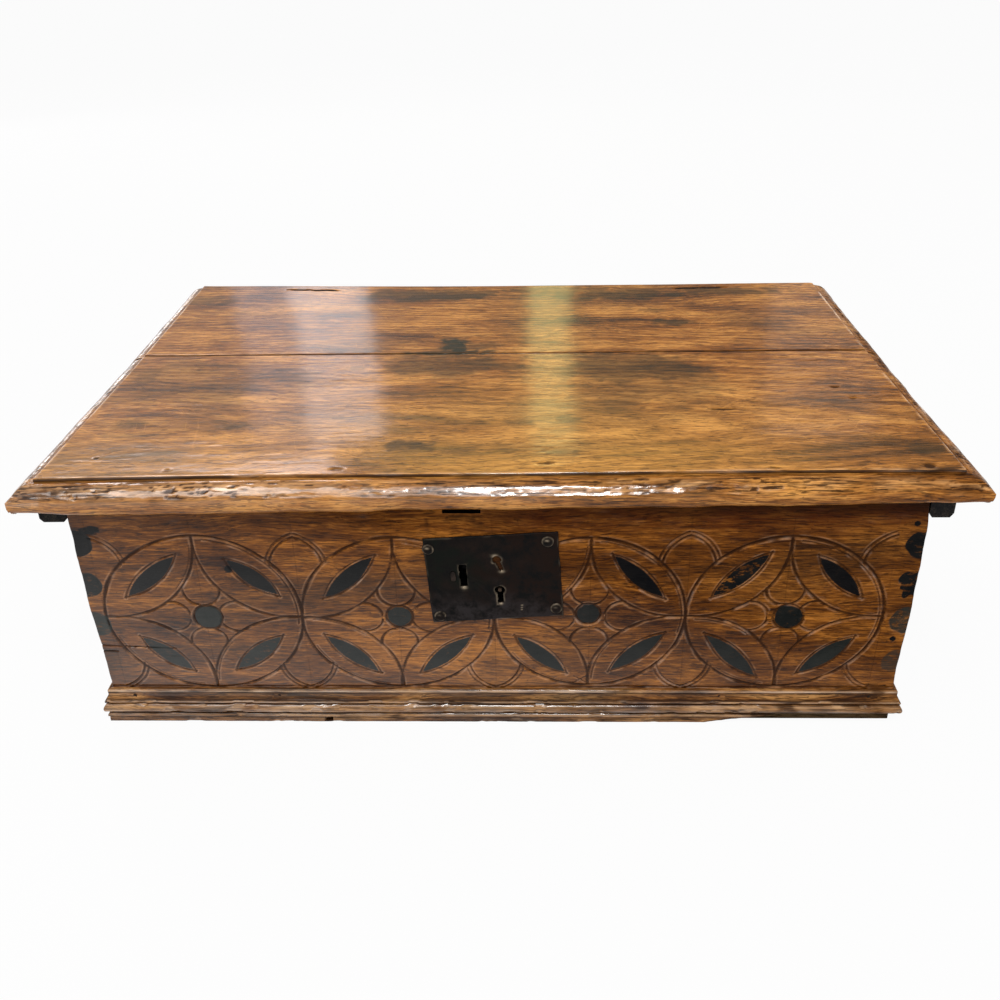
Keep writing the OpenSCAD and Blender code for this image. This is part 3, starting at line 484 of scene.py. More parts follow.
print("a 6 mm rounding falls", [round(float(round_off(d, 6.0)), 2) for d in (0.0, 1.0, 3.0, 6.0)], "mm")

# %% [markdown]
# ## Boards as closed solids
# A board with carving could be one dense mesh, or a flat one with a picture of relief.
# Here it is a closed solid between two grids of points, its face and its back, with walls along the
# rim. Where nothing happens, blocks of four by four cells become one face, so the points are spent on
# the cuts and the arrises. Values such as paint or dirt ride on the points, and the shader reads them.

# %% Put a mesh into the scene
weld_gap = 0.00002  # metres, within which corners of the CAD's meshes are one


def to_piece(mesh, name, angle):
    """Shades a mesh smooth except at edges that turn by more than that angle, and makes it an object."""
    mesh.polygons.foreach_set("use_smooth", [True] * len(mesh.polygons))
    mesh.set_sharp_from_angle(angle=math.radians(angle))
    piece = bpy.data.objects.new(name, mesh)
    bpy.context.scene.collection.objects.link(piece)
    return piece


def dress(piece, material, node, body):
    """Gives a piece its material and lets it stand for a CAD node."""
    piece.data.materials.append(material)
    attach(piece, body)
    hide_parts(node)


def stepped(surface, limit):
    """The cells of a grid over which a surface isn't flat to that limit."""
    bend = np.zeros(surface.shape)
    bend[1:-1] = np.abs(surface[2:] + surface[:-2] - 2 * surface[1:-1])
    bend[:, 1:-1] = most(bend[:, 1:-1], np.abs(surface[:, 2:] + surface[:, :-2] - 2 * surface[:, 1:-1]))
    hot = bend > limit
    return hot[:-1, :-1] | hot[1:, :-1] | hot[:-1, 1:] | hot[1:, 1:]


fold = np.abs(np.arange(-4, 5)[:, None] + np.zeros(3))
print("a fold shows in", int(stepped(fold, 0.5).sum()), "of 16 cells")

# %% Build a closed solid
def edge_steps(a, b, joined):
    """The grid points from a to b, without a, or only b where the neighbour is one large face as well."""
    one = 1 if b > a else -1
    return (b,) if joined else range(a + one, b + one, one)


def solid_between(name, near, far, keep, marks, busy_near, busy_far, block=4):
    """A solid between two grids of points in millimetres. keep says which cells are wood, busy ones
    stay fine, and marks are values for the near side's points."""
    n, m = near.shape[:2]
    index = np.arange(n * m).reshape(n, m)
    faces = []
    for side, busy in ((0, busy_near), (1, busy_far)):
        quiet = {}
        for i in range(0, n - 1, block):
            for j in range(0, m - 1, block):
                cells = (slice(i, min(i + block, n - 1)), slice(j, min(j + block, m - 1)))
                quiet[i, j] = bool(keep[cells].all()) and not busy[cells].any()
        fine = keep.copy()
        for (i, j), calm in quiet.items():
            if not calm:
                continue
            i2, j2 = min(i + block, n - 1), min(j + block, m - 1)
            fine[i:i2, j:j2] = False
            loop = [index[p, j] for p in edge_steps(i, i2, quiet.get((i, j - block)))]
            loop += [index[i2, q] for q in edge_steps(j, j2, quiet.get((i + block, j)))]
            loop += [index[p, j2] for p in edge_steps(i2, i, quiet.get((i, j + block)))]
            loop += [index[i, q] for q in edge_steps(j2, j, quiet.get((i - block, j)))]
            loop = [int(v) + side * n * m for v in loop]
            faces.append(loop if side == 0 else loop[::-1])
        p, q = np.nonzero(fine)
        quad = np.stack([index[p, q], index[p + 1, q], index[p + 1, q + 1], index[p, q + 1]], 1)
        faces += (quad if side == 0 else quad[:, ::-1] + n * m).tolist()
    padded = np.pad(keep, 1)
    for di, dj, a, b in ((0, -1, (0, 0), (1, 0)), (1, 0, (1, 0), (1, 1)),
                         (0, 1, (1, 1), (0, 1)), (-1, 0, (0, 1), (0, 0))):
        p, q = np.nonzero(keep & ~padded[1 + di:n + di, 1 + dj:m + dj])
        one, two = index[p + a[0], q + a[1]], index[p + b[0], q + b[1]]
        faces += np.stack([two, one, one + n * m, two + n * m], 1).tolist()
    points = np.concatenate([near.reshape(-1, 3), far.reshape(-1, 3)])
    used = np.unique(np.concatenate([np.array(f) for f in faces]))
    new = np.full(len(points), -1)
    new[used] = np.arange(len(used))
    faces = [new[f].tolist() for f in faces]
    mesh = bpy.data.meshes.new(name)
    mesh.from_pydata((points[used] * MM).tolist(), [], faces)
    piece = to_piece(mesh, name, 50)
    for key, values in marks.items():
        both = np.concatenate([values.ravel(), np.zeros(n * m)])[used].astype(np.float32)
        mesh.attributes.new(key, "FLOAT", "POINT").data.foreach_set("value", both)
    print(name, len(used), "points", len(faces), "faces")
    return piece


print("solids ready")

# %% [markdown]
# ## The carved front
# The carver struck four touching circles with a compass, stepped the same radius round them for the
# pointed stars, cut a leaf in each gap and filled the leaves and the middles with dark paint.
# A true pattern looks like print. The real one wavers: each circle has its own width, a line is
# deeper where the knife bit, and several arcs were cut twice. So every cut is an arc with its own
# small wander and its own depth, pressed into the grid one after another. In the photograph the
# circles lie a little flatter than the compass left them, and the panel has a factor for that.

# %% Cuts on a panel
class Panel:
    """A face drawn on grid lines, in millimetres, that cuts and paint are laid on."""

    def __init__(self, xs, zs):
        self.x, self.z = np.meshgrid(xs, zs, indexing="ij")
        self.xs, self.zs = xs, zs
        self.flatter = (0.0, 1.0, 1.0)
        self.cut, self.dirt, self.rub, self.paint, self.pale, self.worn = (
            np.zeros(self.x.shape) for _ in range(6))

    def window(self, x0, x1, z0, z1):
        """The part of the grid that covers this stretch."""
        i, j = np.searchsorted(self.xs, (x0, x1)), np.searchsorted(self.zs, (z0, z1))
        return slice(max(i[0] - 1, 0), i[1] + 1), slice(max(j[0] - 1, 0), j[1] + 1)

    def drawn(self, z, back=False):
        """Arcs are struck round, then drawn flatter above and below a middle height, or the way back."""
        middle, above, below = self.flatter
        factor = np.where(z > middle, above, below)
        return middle + (z - middle) * (1 / factor if back else factor)

    def groove(self, w, away, seed, wide, deep, rub=0.8):
        """Presses a cut whose middle line is that far away, darkened inside by dirt and painted shade,
        with a painted highlight beside it.
        """
        x, z = self.x[w], self.z[w]
        wide = wide * (1.0 + 0.22 * lumps(x, z, 15.0, seed + 40))
        depth = deep * (0.85 + 0.3 * lumps(x, z, 17.0, seed + 50))
        shape = np.where(away < wide, np.cos(np.pi / 2 * np.clip(away / wide, 0, 1)) ** 2, 0.0)
        self.cut[w] = np.maximum(self.cut[w], shape * depth)
        # Dirt and painted shade in the cut.
        soil_and_shade = np.clip(1.7 * shape * (0.75 + 0.45 * lumps(x, z, 9.0, seed + 70, 2)), 0, 1)
        self.dirt[w] = np.maximum(self.dirt[w], soil_and_shade * min(1.0, 0.25 + deep * 0.6))
        # A painted highlight along both rims.
        edge = bell(away, wide, 0.6) * patchy(0.15, 1.1, x, z, 14.0, seed + 90, 3)
        self.rub[w] = np.maximum(self.rub[w], 0.45 * rub * edge)

    def arc(self, cx, cz, r, start, end, wide=1.9, deep=1.15, wander=0.6, seed=0, rub=0.8, where=None):
        """An arc cut anticlockwise from one angle to another, in degrees, only where a test allows it."""
        turn = np.radians(np.linspace(start, end, 40))
        px, pz = cx + r * np.cos(turn), self.drawn(cz + r * np.sin(turn))
        w = self.window(px.min() - 5, px.max() + 5, pz.min() - 5, pz.max() + 5)
        x, z = self.x[w] - cx, self.drawn(self.z[w], back=True) - cz
        angle = np.degrees(np.arctan2(z, x))
        own = r + wander * lumps(self.x[w], self.z[w], 42.0, seed)
        away = np.abs(np.hypot(x, z) - own)
        inside = np.mod(angle - start, 360.0) <= end - start
        ends = [np.hypot(x - r * math.cos(a), z - r * math.sin(a)) for a in map(math.radians, (start, end))]
        away = np.where(inside, away, np.minimum(*ends) + 0.3)
        if where is not None:
            uncut = 9.0
            away = np.where(where(x + cx, z + cz), away, uncut)
        self.groove(w, away, seed, wide, deep, rub)

    def line(self, points, wide=0.9, deep=0.6, wander=0.5, seed=0, rub=0.3):
        """A cut or crack along a row of points."""
        for (x0, z0), (x1, z1) in zip(points, points[1:]):
            w = self.window(min(x0, x1) - 4, max(x0, x1) + 4, min(z0, z1) - 4, max(z0, z1) + 4)
            x, z = self.x[w], self.z[w]
            away = from_line(x, z, (x0, z0), (x1, z1))
            away = np.abs(away + wander * lumps(x, z, 6.0, seed) * 0.5)
            self.groove(w, away, seed, wide, deep, rub)

    def fill(self, w, inside, pale, worn, deep=0.5):
        """Paint where inside runs from 0 to 1, with its own shade, sunk a little."""
        self.paint[w] = np.maximum(self.paint[w], inside)
        self.pale[w] = np.where(inside > 0.02, pale, self.pale[w])
        self.worn[w] = np.where(inside > 0.02, worn, self.worn[w])
        self.cut[w] = np.maximum(self.cut[w], inside * deep)

    def blob(self, cx, cz, r, pale=0.0, worn=0.2, deep=0.4, uneven=0.1, seed=0, stretch=1.0, left=1.0):
        """A round spot of paint with a hand-drawn outline."""
        w = self.window(cx - r * 1.5 * stretch, cx + r * 1.5 * stretch, cz - r * 1.5, cz + r * 1.5)
        x, z = (self.x[w] - cx) / stretch, self.z[w] - cz
        turn = np.arctan2(z, x)
        rim = r * (1 + uneven * lumps(np.cos(turn) * 2.2, np.sin(turn) * 2.2, 1.0, seed))
        self.fill(w, left * (1 - ramp(np.hypot(x, z), rim - 0.45, rim + 0.45)), pale, worn, deep)

    def leaf(self, tip, other, wide=15.5, pale=0.2, worn=0.2, seed=0, over=2.0):
        """A painted leaf between two tips, with a line cut round it that overruns the tips."""
        (x0, z0), (x1, z1) = tip, other
        half, h = math.hypot(x1 - x0, z1 - z0) / 2, wide / 2
        cx, cz = (x0 + x1) / 2, (z0 + z1) / 2
        ux, uz = (x1 - x0) / (2 * half), (z1 - z0) / (2 * half)
        r = (half * half + h * h) / (2 * h)
        w = self.window(cx - half - 6, cx + half + 6, cz - half - 6, cz + half + 6)
        x, z = self.x[w] - cx, self.z[w] - cz
        along, across = x * ux + z * uz, z * ux - x * uz
        across = across + 0.5 * lumps(self.x[w], self.z[w], 16.0, seed)
        rim = np.maximum(np.hypot(along, across + (r - h)), np.hypot(along, across - (r - h))) - r
        self.fill(w, 1 - ramp(rim, -1.3, -0.5), pale, worn)
        lean = math.degrees(math.atan2(uz, ux))
        reach = math.degrees(math.asin(half / r)) + math.degrees(over / r)
        for s in (1, -1):
            ax, az = cx + s * uz * (r - h), cz - s * ux * (r - h)
            self.arc(ax, az, r + 0.4, lean + 90 * s - reach, lean + 90 * s + reach,
                     wide=1.35, deep=0.95, wander=0.35, seed=seed + s + 3, rub=1.0)


meets = (-318.0, -158.0, -1.4, 152.6, 308.5)
print("circles", [round(b - a, 1) for a, b in zip(meets, meets[1:])], "mm wide")

# %% [markdown]
# ### Striking the pattern
# Each circle gets a ring, four arcs that make the star, four petals round the painted middle and its
# four leaves. Between the circles, above and below, pairs of arcs meet in a point.
# The leaves were drawn by eye, so their tips are written down one by one.

# %% Strike the circles and their stars
notch_left, notch_right, notch_floor = -38.9, -9.9, 204.0
pitch, wall_half = 0.7, 0.02
as_struck, flat_above, flat_below = (0.0, 1.0, 1.0), 0.972, 0.915
exact_x = [half_box, half_box - 0.3, half_box - 0.8, end_in + wall_half, end_in - wall_half]
xs = lines(-half_box, half_box, pitch, [notch_left, notch_right] + exact_x + [-d for d in exact_x])
zs = lines(board_low, box_top, pitch, (board_low, board_low + 0.4, notch_floor,
                                       box_top - 0.8, box_top - 0.3, box_top))
panel = Panel(xs, zs)


def further_than(r, cx, cz):
    """A test for points further than r from a middle."""
    return lambda x, z: np.hypot(x - cx, z - cz) > r


for k, (x0, x1, cz) in enumerate(zip(meets, meets[1:], (106.5, 105.5, 106.3, 106.4))):
    cx, r = (x0 + x1) / 2, (x1 - x0) / 2
    seed = 100 * k + 7
    panel.flatter = (cz, flat_above, flat_below)
    # The ring, and the two stretches of it that were struck twice.
    panel.arc(cx, cz, r, -180, 180, wide=2.1, deep=1.3, seed=seed)
    panel.arc(cx, cz, r - 3.4, -6 - 4 * k, 84, wide=1.1, deep=0.75, seed=seed + 1)
    panel.arc(cx, cz, r - 3.0, 196 + 8 * k, 262, wide=1.0, deep=0.55, seed=seed + 2)
    # Four arcs from outside the ring make the star. They cross it a little beside its top and its sides.
    off = 0.93 * r
    own = math.hypot(off, r - off)
    lean = math.degrees(math.asin((r - off) / own))
    for s, (sx, sz, start) in enumerate(((-1, 1, 270), (1, 1, 180), (1, -1, 90), (-1, -1, 0))):
        panel.arc(cx + sx * off, cz + sz * off, own, start - lean, start + 90 + lean, seed=seed + 10 + s)
        if (s + k) % 2 == 0:
            panel.arc(cx + sx * off, cz + sz * off, own - 2.8, start + 50, start + 88, wide=1.0, deep=0.6,
                      seed=seed + 14 + s)
    # Four petals stand round the disc and stop at its edge.
    for s, turn in enumerate((0, 90, 180, 270)):
        ox, oz = 27.0 * math.cos(math.radians(turn)), 27.0 * math.sin(math.radians(turn))
        panel.arc(cx + ox, cz + oz, 15.2, turn + 84, turn + 276, seed=seed + 20 + s, wide=1.8, deep=1.1,
                  where=further_than(12.4, cx, cz))
panel.flatter = as_struck
print("deepest ring", round(float(panel.cut.max()), 2), "mm")

# %% Paint the discs and the leaves
# A disc is a middle, a radius and how pale its paint is. A leaf is its two tips, how pale and how worn.
discs = ((-235.6, 105.8, 11.0, 0.7), (-78.3, 106.6, 9.8, 0.5),
         (74.6, 108.9, 9.2, 0.25), (235.0, 105.8, 11.2, 0.25))
for k, (cx, cz, r, pale) in enumerate(discs):
    panel.blob(cx, cz, r, pale=pale, worn=0.3, uneven=0.06, seed=40 + k)
    panel.arc(cx, cz, r + 0.9, -180, 180, wide=1.8, deep=1.2, wander=0.3, seed=60 + k, rub=0.6)
leaves = (((-253.5, 166.3), (-298, 126.5), 0.1, 0.2), ((-214, 162.5), (-174.5, 127.5), 0.1, 0.2),
          ((-294.5, 86), (-255.5, 51), 0.6, 0.5), ((-176.5, 87), (-219, 52), 0.7, 0.6),
          ((-95, 165), (-138.5, 125), 0.1, 0.2), ((-141, 88), (-98, 49.5), 0.5, 0.3),
          ((-20, 87.5), (-64, 49), 0.45, 0.3), ((93, 165.5), (135, 124), 0.0, 0.25),
          ((15.5, 87), (57, 49), 0.4, 0.2), ((137, 90), (93, 51), 0.35, 0.2),
          ((215.6, 167), (172.5, 125), 0.1, 1.0), ((253, 164), (290, 125), 0.0, 0.3),
          ((170, 89), (214.5, 45), 0.4, 0.3), ((290, 86), (248, 49), 0.5, 0.3))
for k, (tip, other, pale, worn) in enumerate(leaves):
    panel.leaf(tip, other, pale=pale, worn=worn, seed=300 + 11 * k)
print("paint covers", round(float((panel.paint > 0.5).mean()) * 100, 1), "% of the face")

# %% Points between the circles
def beside_ring(join, side, middle, ring=78.0):
    """A test that keeps an arc out of the ring next to it, and on its own side of the join."""
    return lambda x, z: ((np.hypot(x - join - side * ring, z - middle) > ring - 1.5)
                         & ((x - join) * side > -1.0))


for k, (join, middle) in enumerate(zip(meets, (106.3, 106.3, 105.8, 107.0, 107.0))):
    panel.flatter = (middle, 0.966, flat_below)
    for up in (1, -1):
        for side, low, high in ((1, -14, 71), (-1, 109, 194)):
            if (k, side) in ((0, -1), (4, 1)):
                continue
            span = (low, high) if up > 0 else (-high, -low)
            left_over = 0.3 if (k == 2 and up > 0) else 1.0
            for extra, deep in ((0.0, 1.05), (3.4, 0.85)):
                panel.arc(join - side * 10.8, middle + up * (79 - 30.1), 32.0 + extra, *span, wide=1.6,
                          deep=deep * left_over, wander=0.5, rub=0.8 * left_over,
                          seed=500 + 20 * k + 5 * up + side, where=beside_ring(join, side, middle))
panel.flatter = as_struck
# The share below counts the painted highlights beside the cuts.
print("rubbed wood", round(float((panel.rub > 0.2).mean()) * 100, 1), "% of the face")

# %% Painted discs at the ends
# Under the x of each end stand the height, paleness, wear, unevenness and what is left of its discs.
end_discs = {-327.0: ((177.5, 0.1, 0.25, 0.05, 1.0), (138.0, 0.3, 0.5, 0.05, 0.95),
                      (99.0, 0.9, 0.4, 0.05, 0.85), (62.0, 1.0, 1.0, 0.05, 0.3)),
             327.0: ((174.3, 0.1, 0.4, 0.1, 0.95), (137.0, 0.1, 0.7, 0.3, 1.0),
                     (102.6, 0.8, 0.5, 0.12, 0.75), (61.6, 1.0, 0.4, 0.1, 0.55))}
for first_seed, (x, column) in zip((80, 90), end_discs.items()):
    for k, (z, pale, worn, uneven, left) in enumerate(column):
        panel.blob(x, z, 11.9, pale=pale, worn=worn, uneven=uneven, seed=first_seed + k, deep=0.25, left=left)
for x, z, r, worn, uneven, stretch, seed in (
        (-316.0, 189.5, 4.0, 0.9, 0.3, 2.2, 3), (-212.5, 153.0, 3.2, 0.3, 0.15, 1.0, 5),
        (321.6, 193.5, 2.4, 0.8, 0.1, 1.0, 6), (320.0, 84.0, 2.6, 0.8, 0.1, 1.0, 8)):
    panel.blob(x, z, r, worn=worn, uneven=uneven, stretch=stretch, seed=seed, deep=0.1)
print("paint covers now", round(float((panel.paint > 0.5).mean()) * 100, 1), "% of the face")

# %% Cracks, old nicks and the lines that the carver set out with
# A crack is its points, its width, its depth and its seed.
cracks = (((-332, 77.6), (-291, 75), (-267, 74), 0.9, 1.3, 12), ((-330, 71.5), (-316, 71), 0.9, 1.2, 13),
          ((-273, 66), (-246, 64.5), (-221, 62), 0.6, 0.4, 14), ((309, 35.6), (322.5, 35.3), 1.5, 1.4, 19),
          ((62, 37), (76, 47), 0.8, 0.8, 15), ((63, 46), (75, 38), 0.8, 0.8, 16))
for *points, wide, deep, seed in cracks:
    panel.line(points, wide=wide, deep=deep, seed=seed)
for x in (-318, -238, -158, -79.7, -1.4, 75.6, 152.6, 230.5, 308.5):
    panel.line([(x + 0.6, 22), (x, 199)], wide=0.65, deep=0.16, wander=0.3, seed=int(x) + 700, rub=0.0)
panel.line([(-318, 106), (308, 107)], wide=0.65, deep=0.14, wander=0.3, seed=17, rub=0.0)
panel.line([(-330, 33.9), (330, 33.7)], wide=1.3, deep=0.9, wander=0.5, seed=18, rub=0.1)
print("deepest cut", round(float(panel.cut.max()), 2), "mm")

# %% [markdown]
# ### The board itself
# The face carries the cuts, a gentle wave left by the plane, and soft arrises at both ends, which
# wear hollow where hands lift the box. Behind it the board keeps the CAD's rabbets for the ends, the
# notch that the hasp dropped into and the pocket for the lock, because those are joints and not looks.

# %% Shape of the front board
x, z = panel.x, panel.z
to_end, to_top = half_box - np.abs(x), box_top - z
worn_end = 1.1 * amount(z, np.sign(x) * 9.0, 22.0, 21, 3) * (1 - ramp(to_end, 0.0, 16.0))
face = panel.cut + 0.22 * lumps(x, z, 90.0, 22) + 0.22 + round_off(to_end, 1.2) + round_off(to_top, 0.8)
face = face + 0.07 * lumps(x / 3.0, z, 5.0, 23, 2) * (1 - panel.paint)
plate_middle, plate_tilt, pocket_deep = (-0.5, 145.0), math.radians(3.5), 12.0
lock_x, lock_z = in_frame(x, z, plate_middle, plate_tilt)
pocket = (lock_x > -38) & (lock_x < 30) & (lock_z > -30) & (lock_z < np.where(lock_x < -10, 17, 3.5))
face = np.where(pocket, pocket_deep, face)
swell = 2.6 * ramp(z, 40, 120) * (1 - ramp(z, 185, box_top) * (x > 0)) * (1 - ramp(to_end, 0.0, 60.0))
near = np.stack([x - np.sign(x) * (worn_end - swell), front_y + face, z], 2)
back = np.where(np.abs(x) > end_in, end_front, board_back)
far = np.stack([np.where(to_end < 0.1, near[..., 0], x), back, z], 2)
cell_x, cell_z = (xs[:-1, None] + xs[1:, None]) / 2, (zs[None, :-1] + zs[None, 1:]) / 2
keep = ~((cell_x > notch_left) & (cell_x < notch_right) & (cell_z > notch_floor))
print("kept", int(keep.sum()), "of", keep.size, "cells")

# %% Dirt, painted shade and painted glints on the front board
# Black paint stands for the shade inside the lock's pocket, where the slot and keyhole show it.
panel.paint = np.where(pocket & (lock_z < 16) & ((lock_x < -10) | (lock_z < 3)), 1.0, panel.paint)
# Black paint also stands for the shadow in the notch that the hasp dropped into.
notch_rim = (x > notch_left - 0.1) & (x < notch_right + 0.1) & (z > notch_floor - 0.3)
panel.paint = np.where(notch_rim, 1.0, panel.paint)
under_lid, over_plinth = 1 - ramp(to_top, 0.0, 16.0), 1 - ramp(z, 33.0, 44.0)
# Dirt and painted shade: the painted shadow of the lid along the top, stronger to the right, darker bands
# above the plinth and at the ends, and painted shade in the pocket, in the notch and behind the old keyhole.
grime_and_shade = most(panel.dirt, pocket,
             (0.10 + 0.75 * ramp(x, -100, 200)) * under_lid * (0.8 + 0.4 * lumps(x, z, 30.0, 24, 2)),
             0.5 * over_plinth * (0.7 + 0.5 * lumps(x, z, 25.0, 25, 2)),
             0.25 * (1 - ramp(to_end, 0, 12)) * (0.5 + lumps(x, z, 20.0, 26, 2)),
             (x > notch_left) & (x < notch_right) & (z > notch_floor + 1.0),
             0.85 * (np.hypot(lock_x - 4.5, (lock_z - 12) / 2) < 8) * (lock_z > 3))
# Dark spots just below the notch.
for cx, cz, rx, rz, much in ((-24, 200, 14, 3, 0.8), (-12, 193, 5, 3, 0.6), (-52, 195, 1.2, 6, 0.7),
                             (-30, 190, 4, 4, 0.5), (5, 203, 20, 2, 0.3)):
    away = np.hypot((x - cx) / rx, (z - cz) / rz) + 0.4 * lumps(x, z, 4.0, 27 + int(rx), 3)
    grime_and_shade = most(grime_and_shade, much * (1 - ramp(away, 0.5, 1.2)))
# Lips of the cuts that face upwards get painted glints: paler wood, less darkening and a thicker coat.
facing_up = np.clip(np.gradient(face, axis=1) / np.gradient(z, axis=1) * 1.1, 0, 1) * ~pocket
glint = facing_up * patchy(0.35, 1.2, x, z, 13.0, 28, 3)
panel.rub = most(panel.rub, glint)
panel.dirt = panel.dirt * (1 - 0.75 * glint)
grime_and_shade = np.where(grime_and_shade <= panel.dirt + 0.01, panel.dirt, grime_and_shade * (1 - 0.6 * glint))
bare = 1 - panel.paint
# Painted shade: a dark red band under the lid, stronger to the right.
painted_red_shade = ramp(z, 176, 206) * (0.05 + 0.95 * ramp(x, -120, 120)) * (0.8 + 0.35 * lumps(x, z, 40.0, 29, 2))
marks = {"dirt": np.clip(grime_and_shade, 0, 1), "rub": np.clip(panel.rub, 0, 1) * bare * (1 - panel.dirt),
         "shine": np.clip(1.9 * glint * ramp(lumps(x, z, 8.0, 30, 3), -0.1, 0.5), 0, 1) * bare,
         "paint": panel.paint, "pale": panel.pale, "worn": panel.worn, "warm": painted_red_shade}
busy = stepped(face, 0.02) | stepped(panel.paint, 0.2) | stepped(panel.dirt, 0.15)
front_board = solid_between("carved_front", near, far, keep, marks, busy, stepped(back, 0.1))
dress(front_board, carved_oak, "front_board", "carcase")

# %% [markdown]
# ## The lid
# The lid is two boards, one wide and one narrow, with the same moulding run round the front and both
# ends: a small step down from the flat, then a thumb moulding that rolls over to the edge.
# The moulding is a height that depends only on the distance to the nearest edge, which mitres the
# corners by itself. Three centuries of sleeves have polished the roll and chipped its lip, so the
# distance is shifted by a slow wave and the roll loses small splinters along the grain.
# The wide board has also risen in its middle and sunk at its front left edge, and the whole lid is
# twisted. The mirrored lamps would show at once if it were flat.

# %% Twist of the lid
def twist(x, y):
    """How far the seasoned boards rise off the box: at the rear left and the front right corner."""
    return 4.5 * np.maximum(0.0, -(x / half_lid) * (y / 240.0)) ** 1.15


corners = [(x, y) for x in (-half_lid, half_lid) for y in (lid_front, lid_rear)]
print("rise at the corners", [round(float(twist(*corner)), 1) for corner in corners], "mm")

# %% Shape of the lid's edge
roll_end, flat_start, step_deep = 15.0, 18.0, 2.5
roll_radius, nose_drop, under_radius = 17.5, 20.4, 6.5


def edge_drop(d):
    """How far the top lies below the flat, at that distance from the edge."""
    roll = nose_drop - np.sqrt(np.maximum(roll_radius ** 2 - (roll_end - np.minimum(d, roll_end)) ** 2, 0))
    return np.where(d < roll_end, roll, np.where(d < flat_start, step_deep, 0.0))


profile_d = (0, 0.35, 0.9, 1.6, 2.4, 3.4, 4.4, 5.5, 6.5, 7.7, 9, 10.3, 11.6, 12.9, 14.1, 14.98, 15.02,
             16.4, 17.95, 18.02, 18.2, 18.5, 19.0, 19.6)
print("edge", [(d, round(float(lid_top - edge_drop(np.float64(d))), 1)) for d in (0, 5, 10, 14, 16, 20)])

# %% Dents and stains on the lid
# Each row is a place, a half width along x and along y, and a strength.
dents = ((329, -216, 5.5, 5, 1.0), (-317, -190, 2.4, 2.4, 1.0), (192, -107, 13, 2.4, 1.0),
         (-120, -214, 6, 2.5, 0.7), (212, -219, 5, 2, 0.5), (-252, -212, 3, 2, 0.5),
         (300, -60, 4, 2, 0.7), (309, -85, 3, 2.5, 0.6), (40, -207, 7, 2, 0.8))
stains = ((-45, 50, 17, 26, 1.0), (-48, 33, 50, 7, 0.9), (-45, 22, 30, 7, 0.55), (-25, 48, 26, 10, 0.5),
          (-70, -173, 22, 10, 0.7), (-30, -185, 22, 7, 0.45), (56, -190, 14, 7, 0.5), (61, -125, 12, 9, 0.5),
          (20, -130, 14, 8, 0.45), (177, 114, 22, 12, 0.75), (165, 150, 18, 7, 0.5), (175, -35, 24, 9, 0.45),
          (-331, -18, 14, 22, 0.5), (-290, 5, 40, 10, 0.4), (335, -186, 16, 12, 0.5), (300, -165, 30, 5, 0.4),
          (-315, -129, 16, 12, 0.5), (-300, -150, 30, 5, 0.35), (-60, 215, 60, 14, 0.55),
          (60, 225, 70, 9, 0.6),
          (250, 212, 60, 16, 0.6), (-150, 40, 50, 6, 0.45), (-95, 205, 80, 24, 0.75), (125, 205, 80, 24, 0.7),
          (120, -10, 80, 36, 0.6), (-60, 0, 70, 30, 0.55), (-330, 190, 26, 16, 0.5), (90, 20, 70, 8, 0.5),
          (-275, -45, 100, 60, 0.30), (135, -60, 75, 50, 0.28))
clinch_x, clinch_y, clinch_deep = 222, 225.5, 2.6


def spot(x, y, cx, cy, rx, ry, seed, uneven=0.35):
    """A stain with a ragged outline, from 1 in the middle to 0."""
    away = np.hypot((x - cx) / rx, (y - cy) / ry) + uneven * lumps(x, y, 0.5 * min(rx, ry) + 2, seed, 3)
    return 1 - ramp(away, 0.6, 1.15)


def old_marks(x, y, with_hinges):
    """The dents and their darkening, the stains, and the beds of the clinched hinge wires."""
    dent, dirt, stain = (np.zeros(x.shape) for _ in range(3))
    for cx, cy, rx, ry, much in dents:
        hole = spot(x, y, cx, cy, rx, ry, int(cx) + 900, 0.12)
        dirt, dent = most(dirt, hole * much), most(dent, hole * 0.6)
    for cx, cy, rx, ry, much in stains:
        stain = most(stain, much * spot(x, y, cx, cy, rx, ry, int(cx) + 950))
    for side in (-1, 1) if with_hinges else ():
        for end in (-1, 1):
            bed = spot(x, y, side * clinch_x + 15 * end, clinch_y + 0.8 * side * end, 17, 2.3,
                       77 + 5 * end + side, 0.12)
            dent, dirt = most(dent, bed * clinch_deep), most(dirt, bed)
    return dent, dirt, stain


print(len(dents), "dents and", len(stains), "stains")

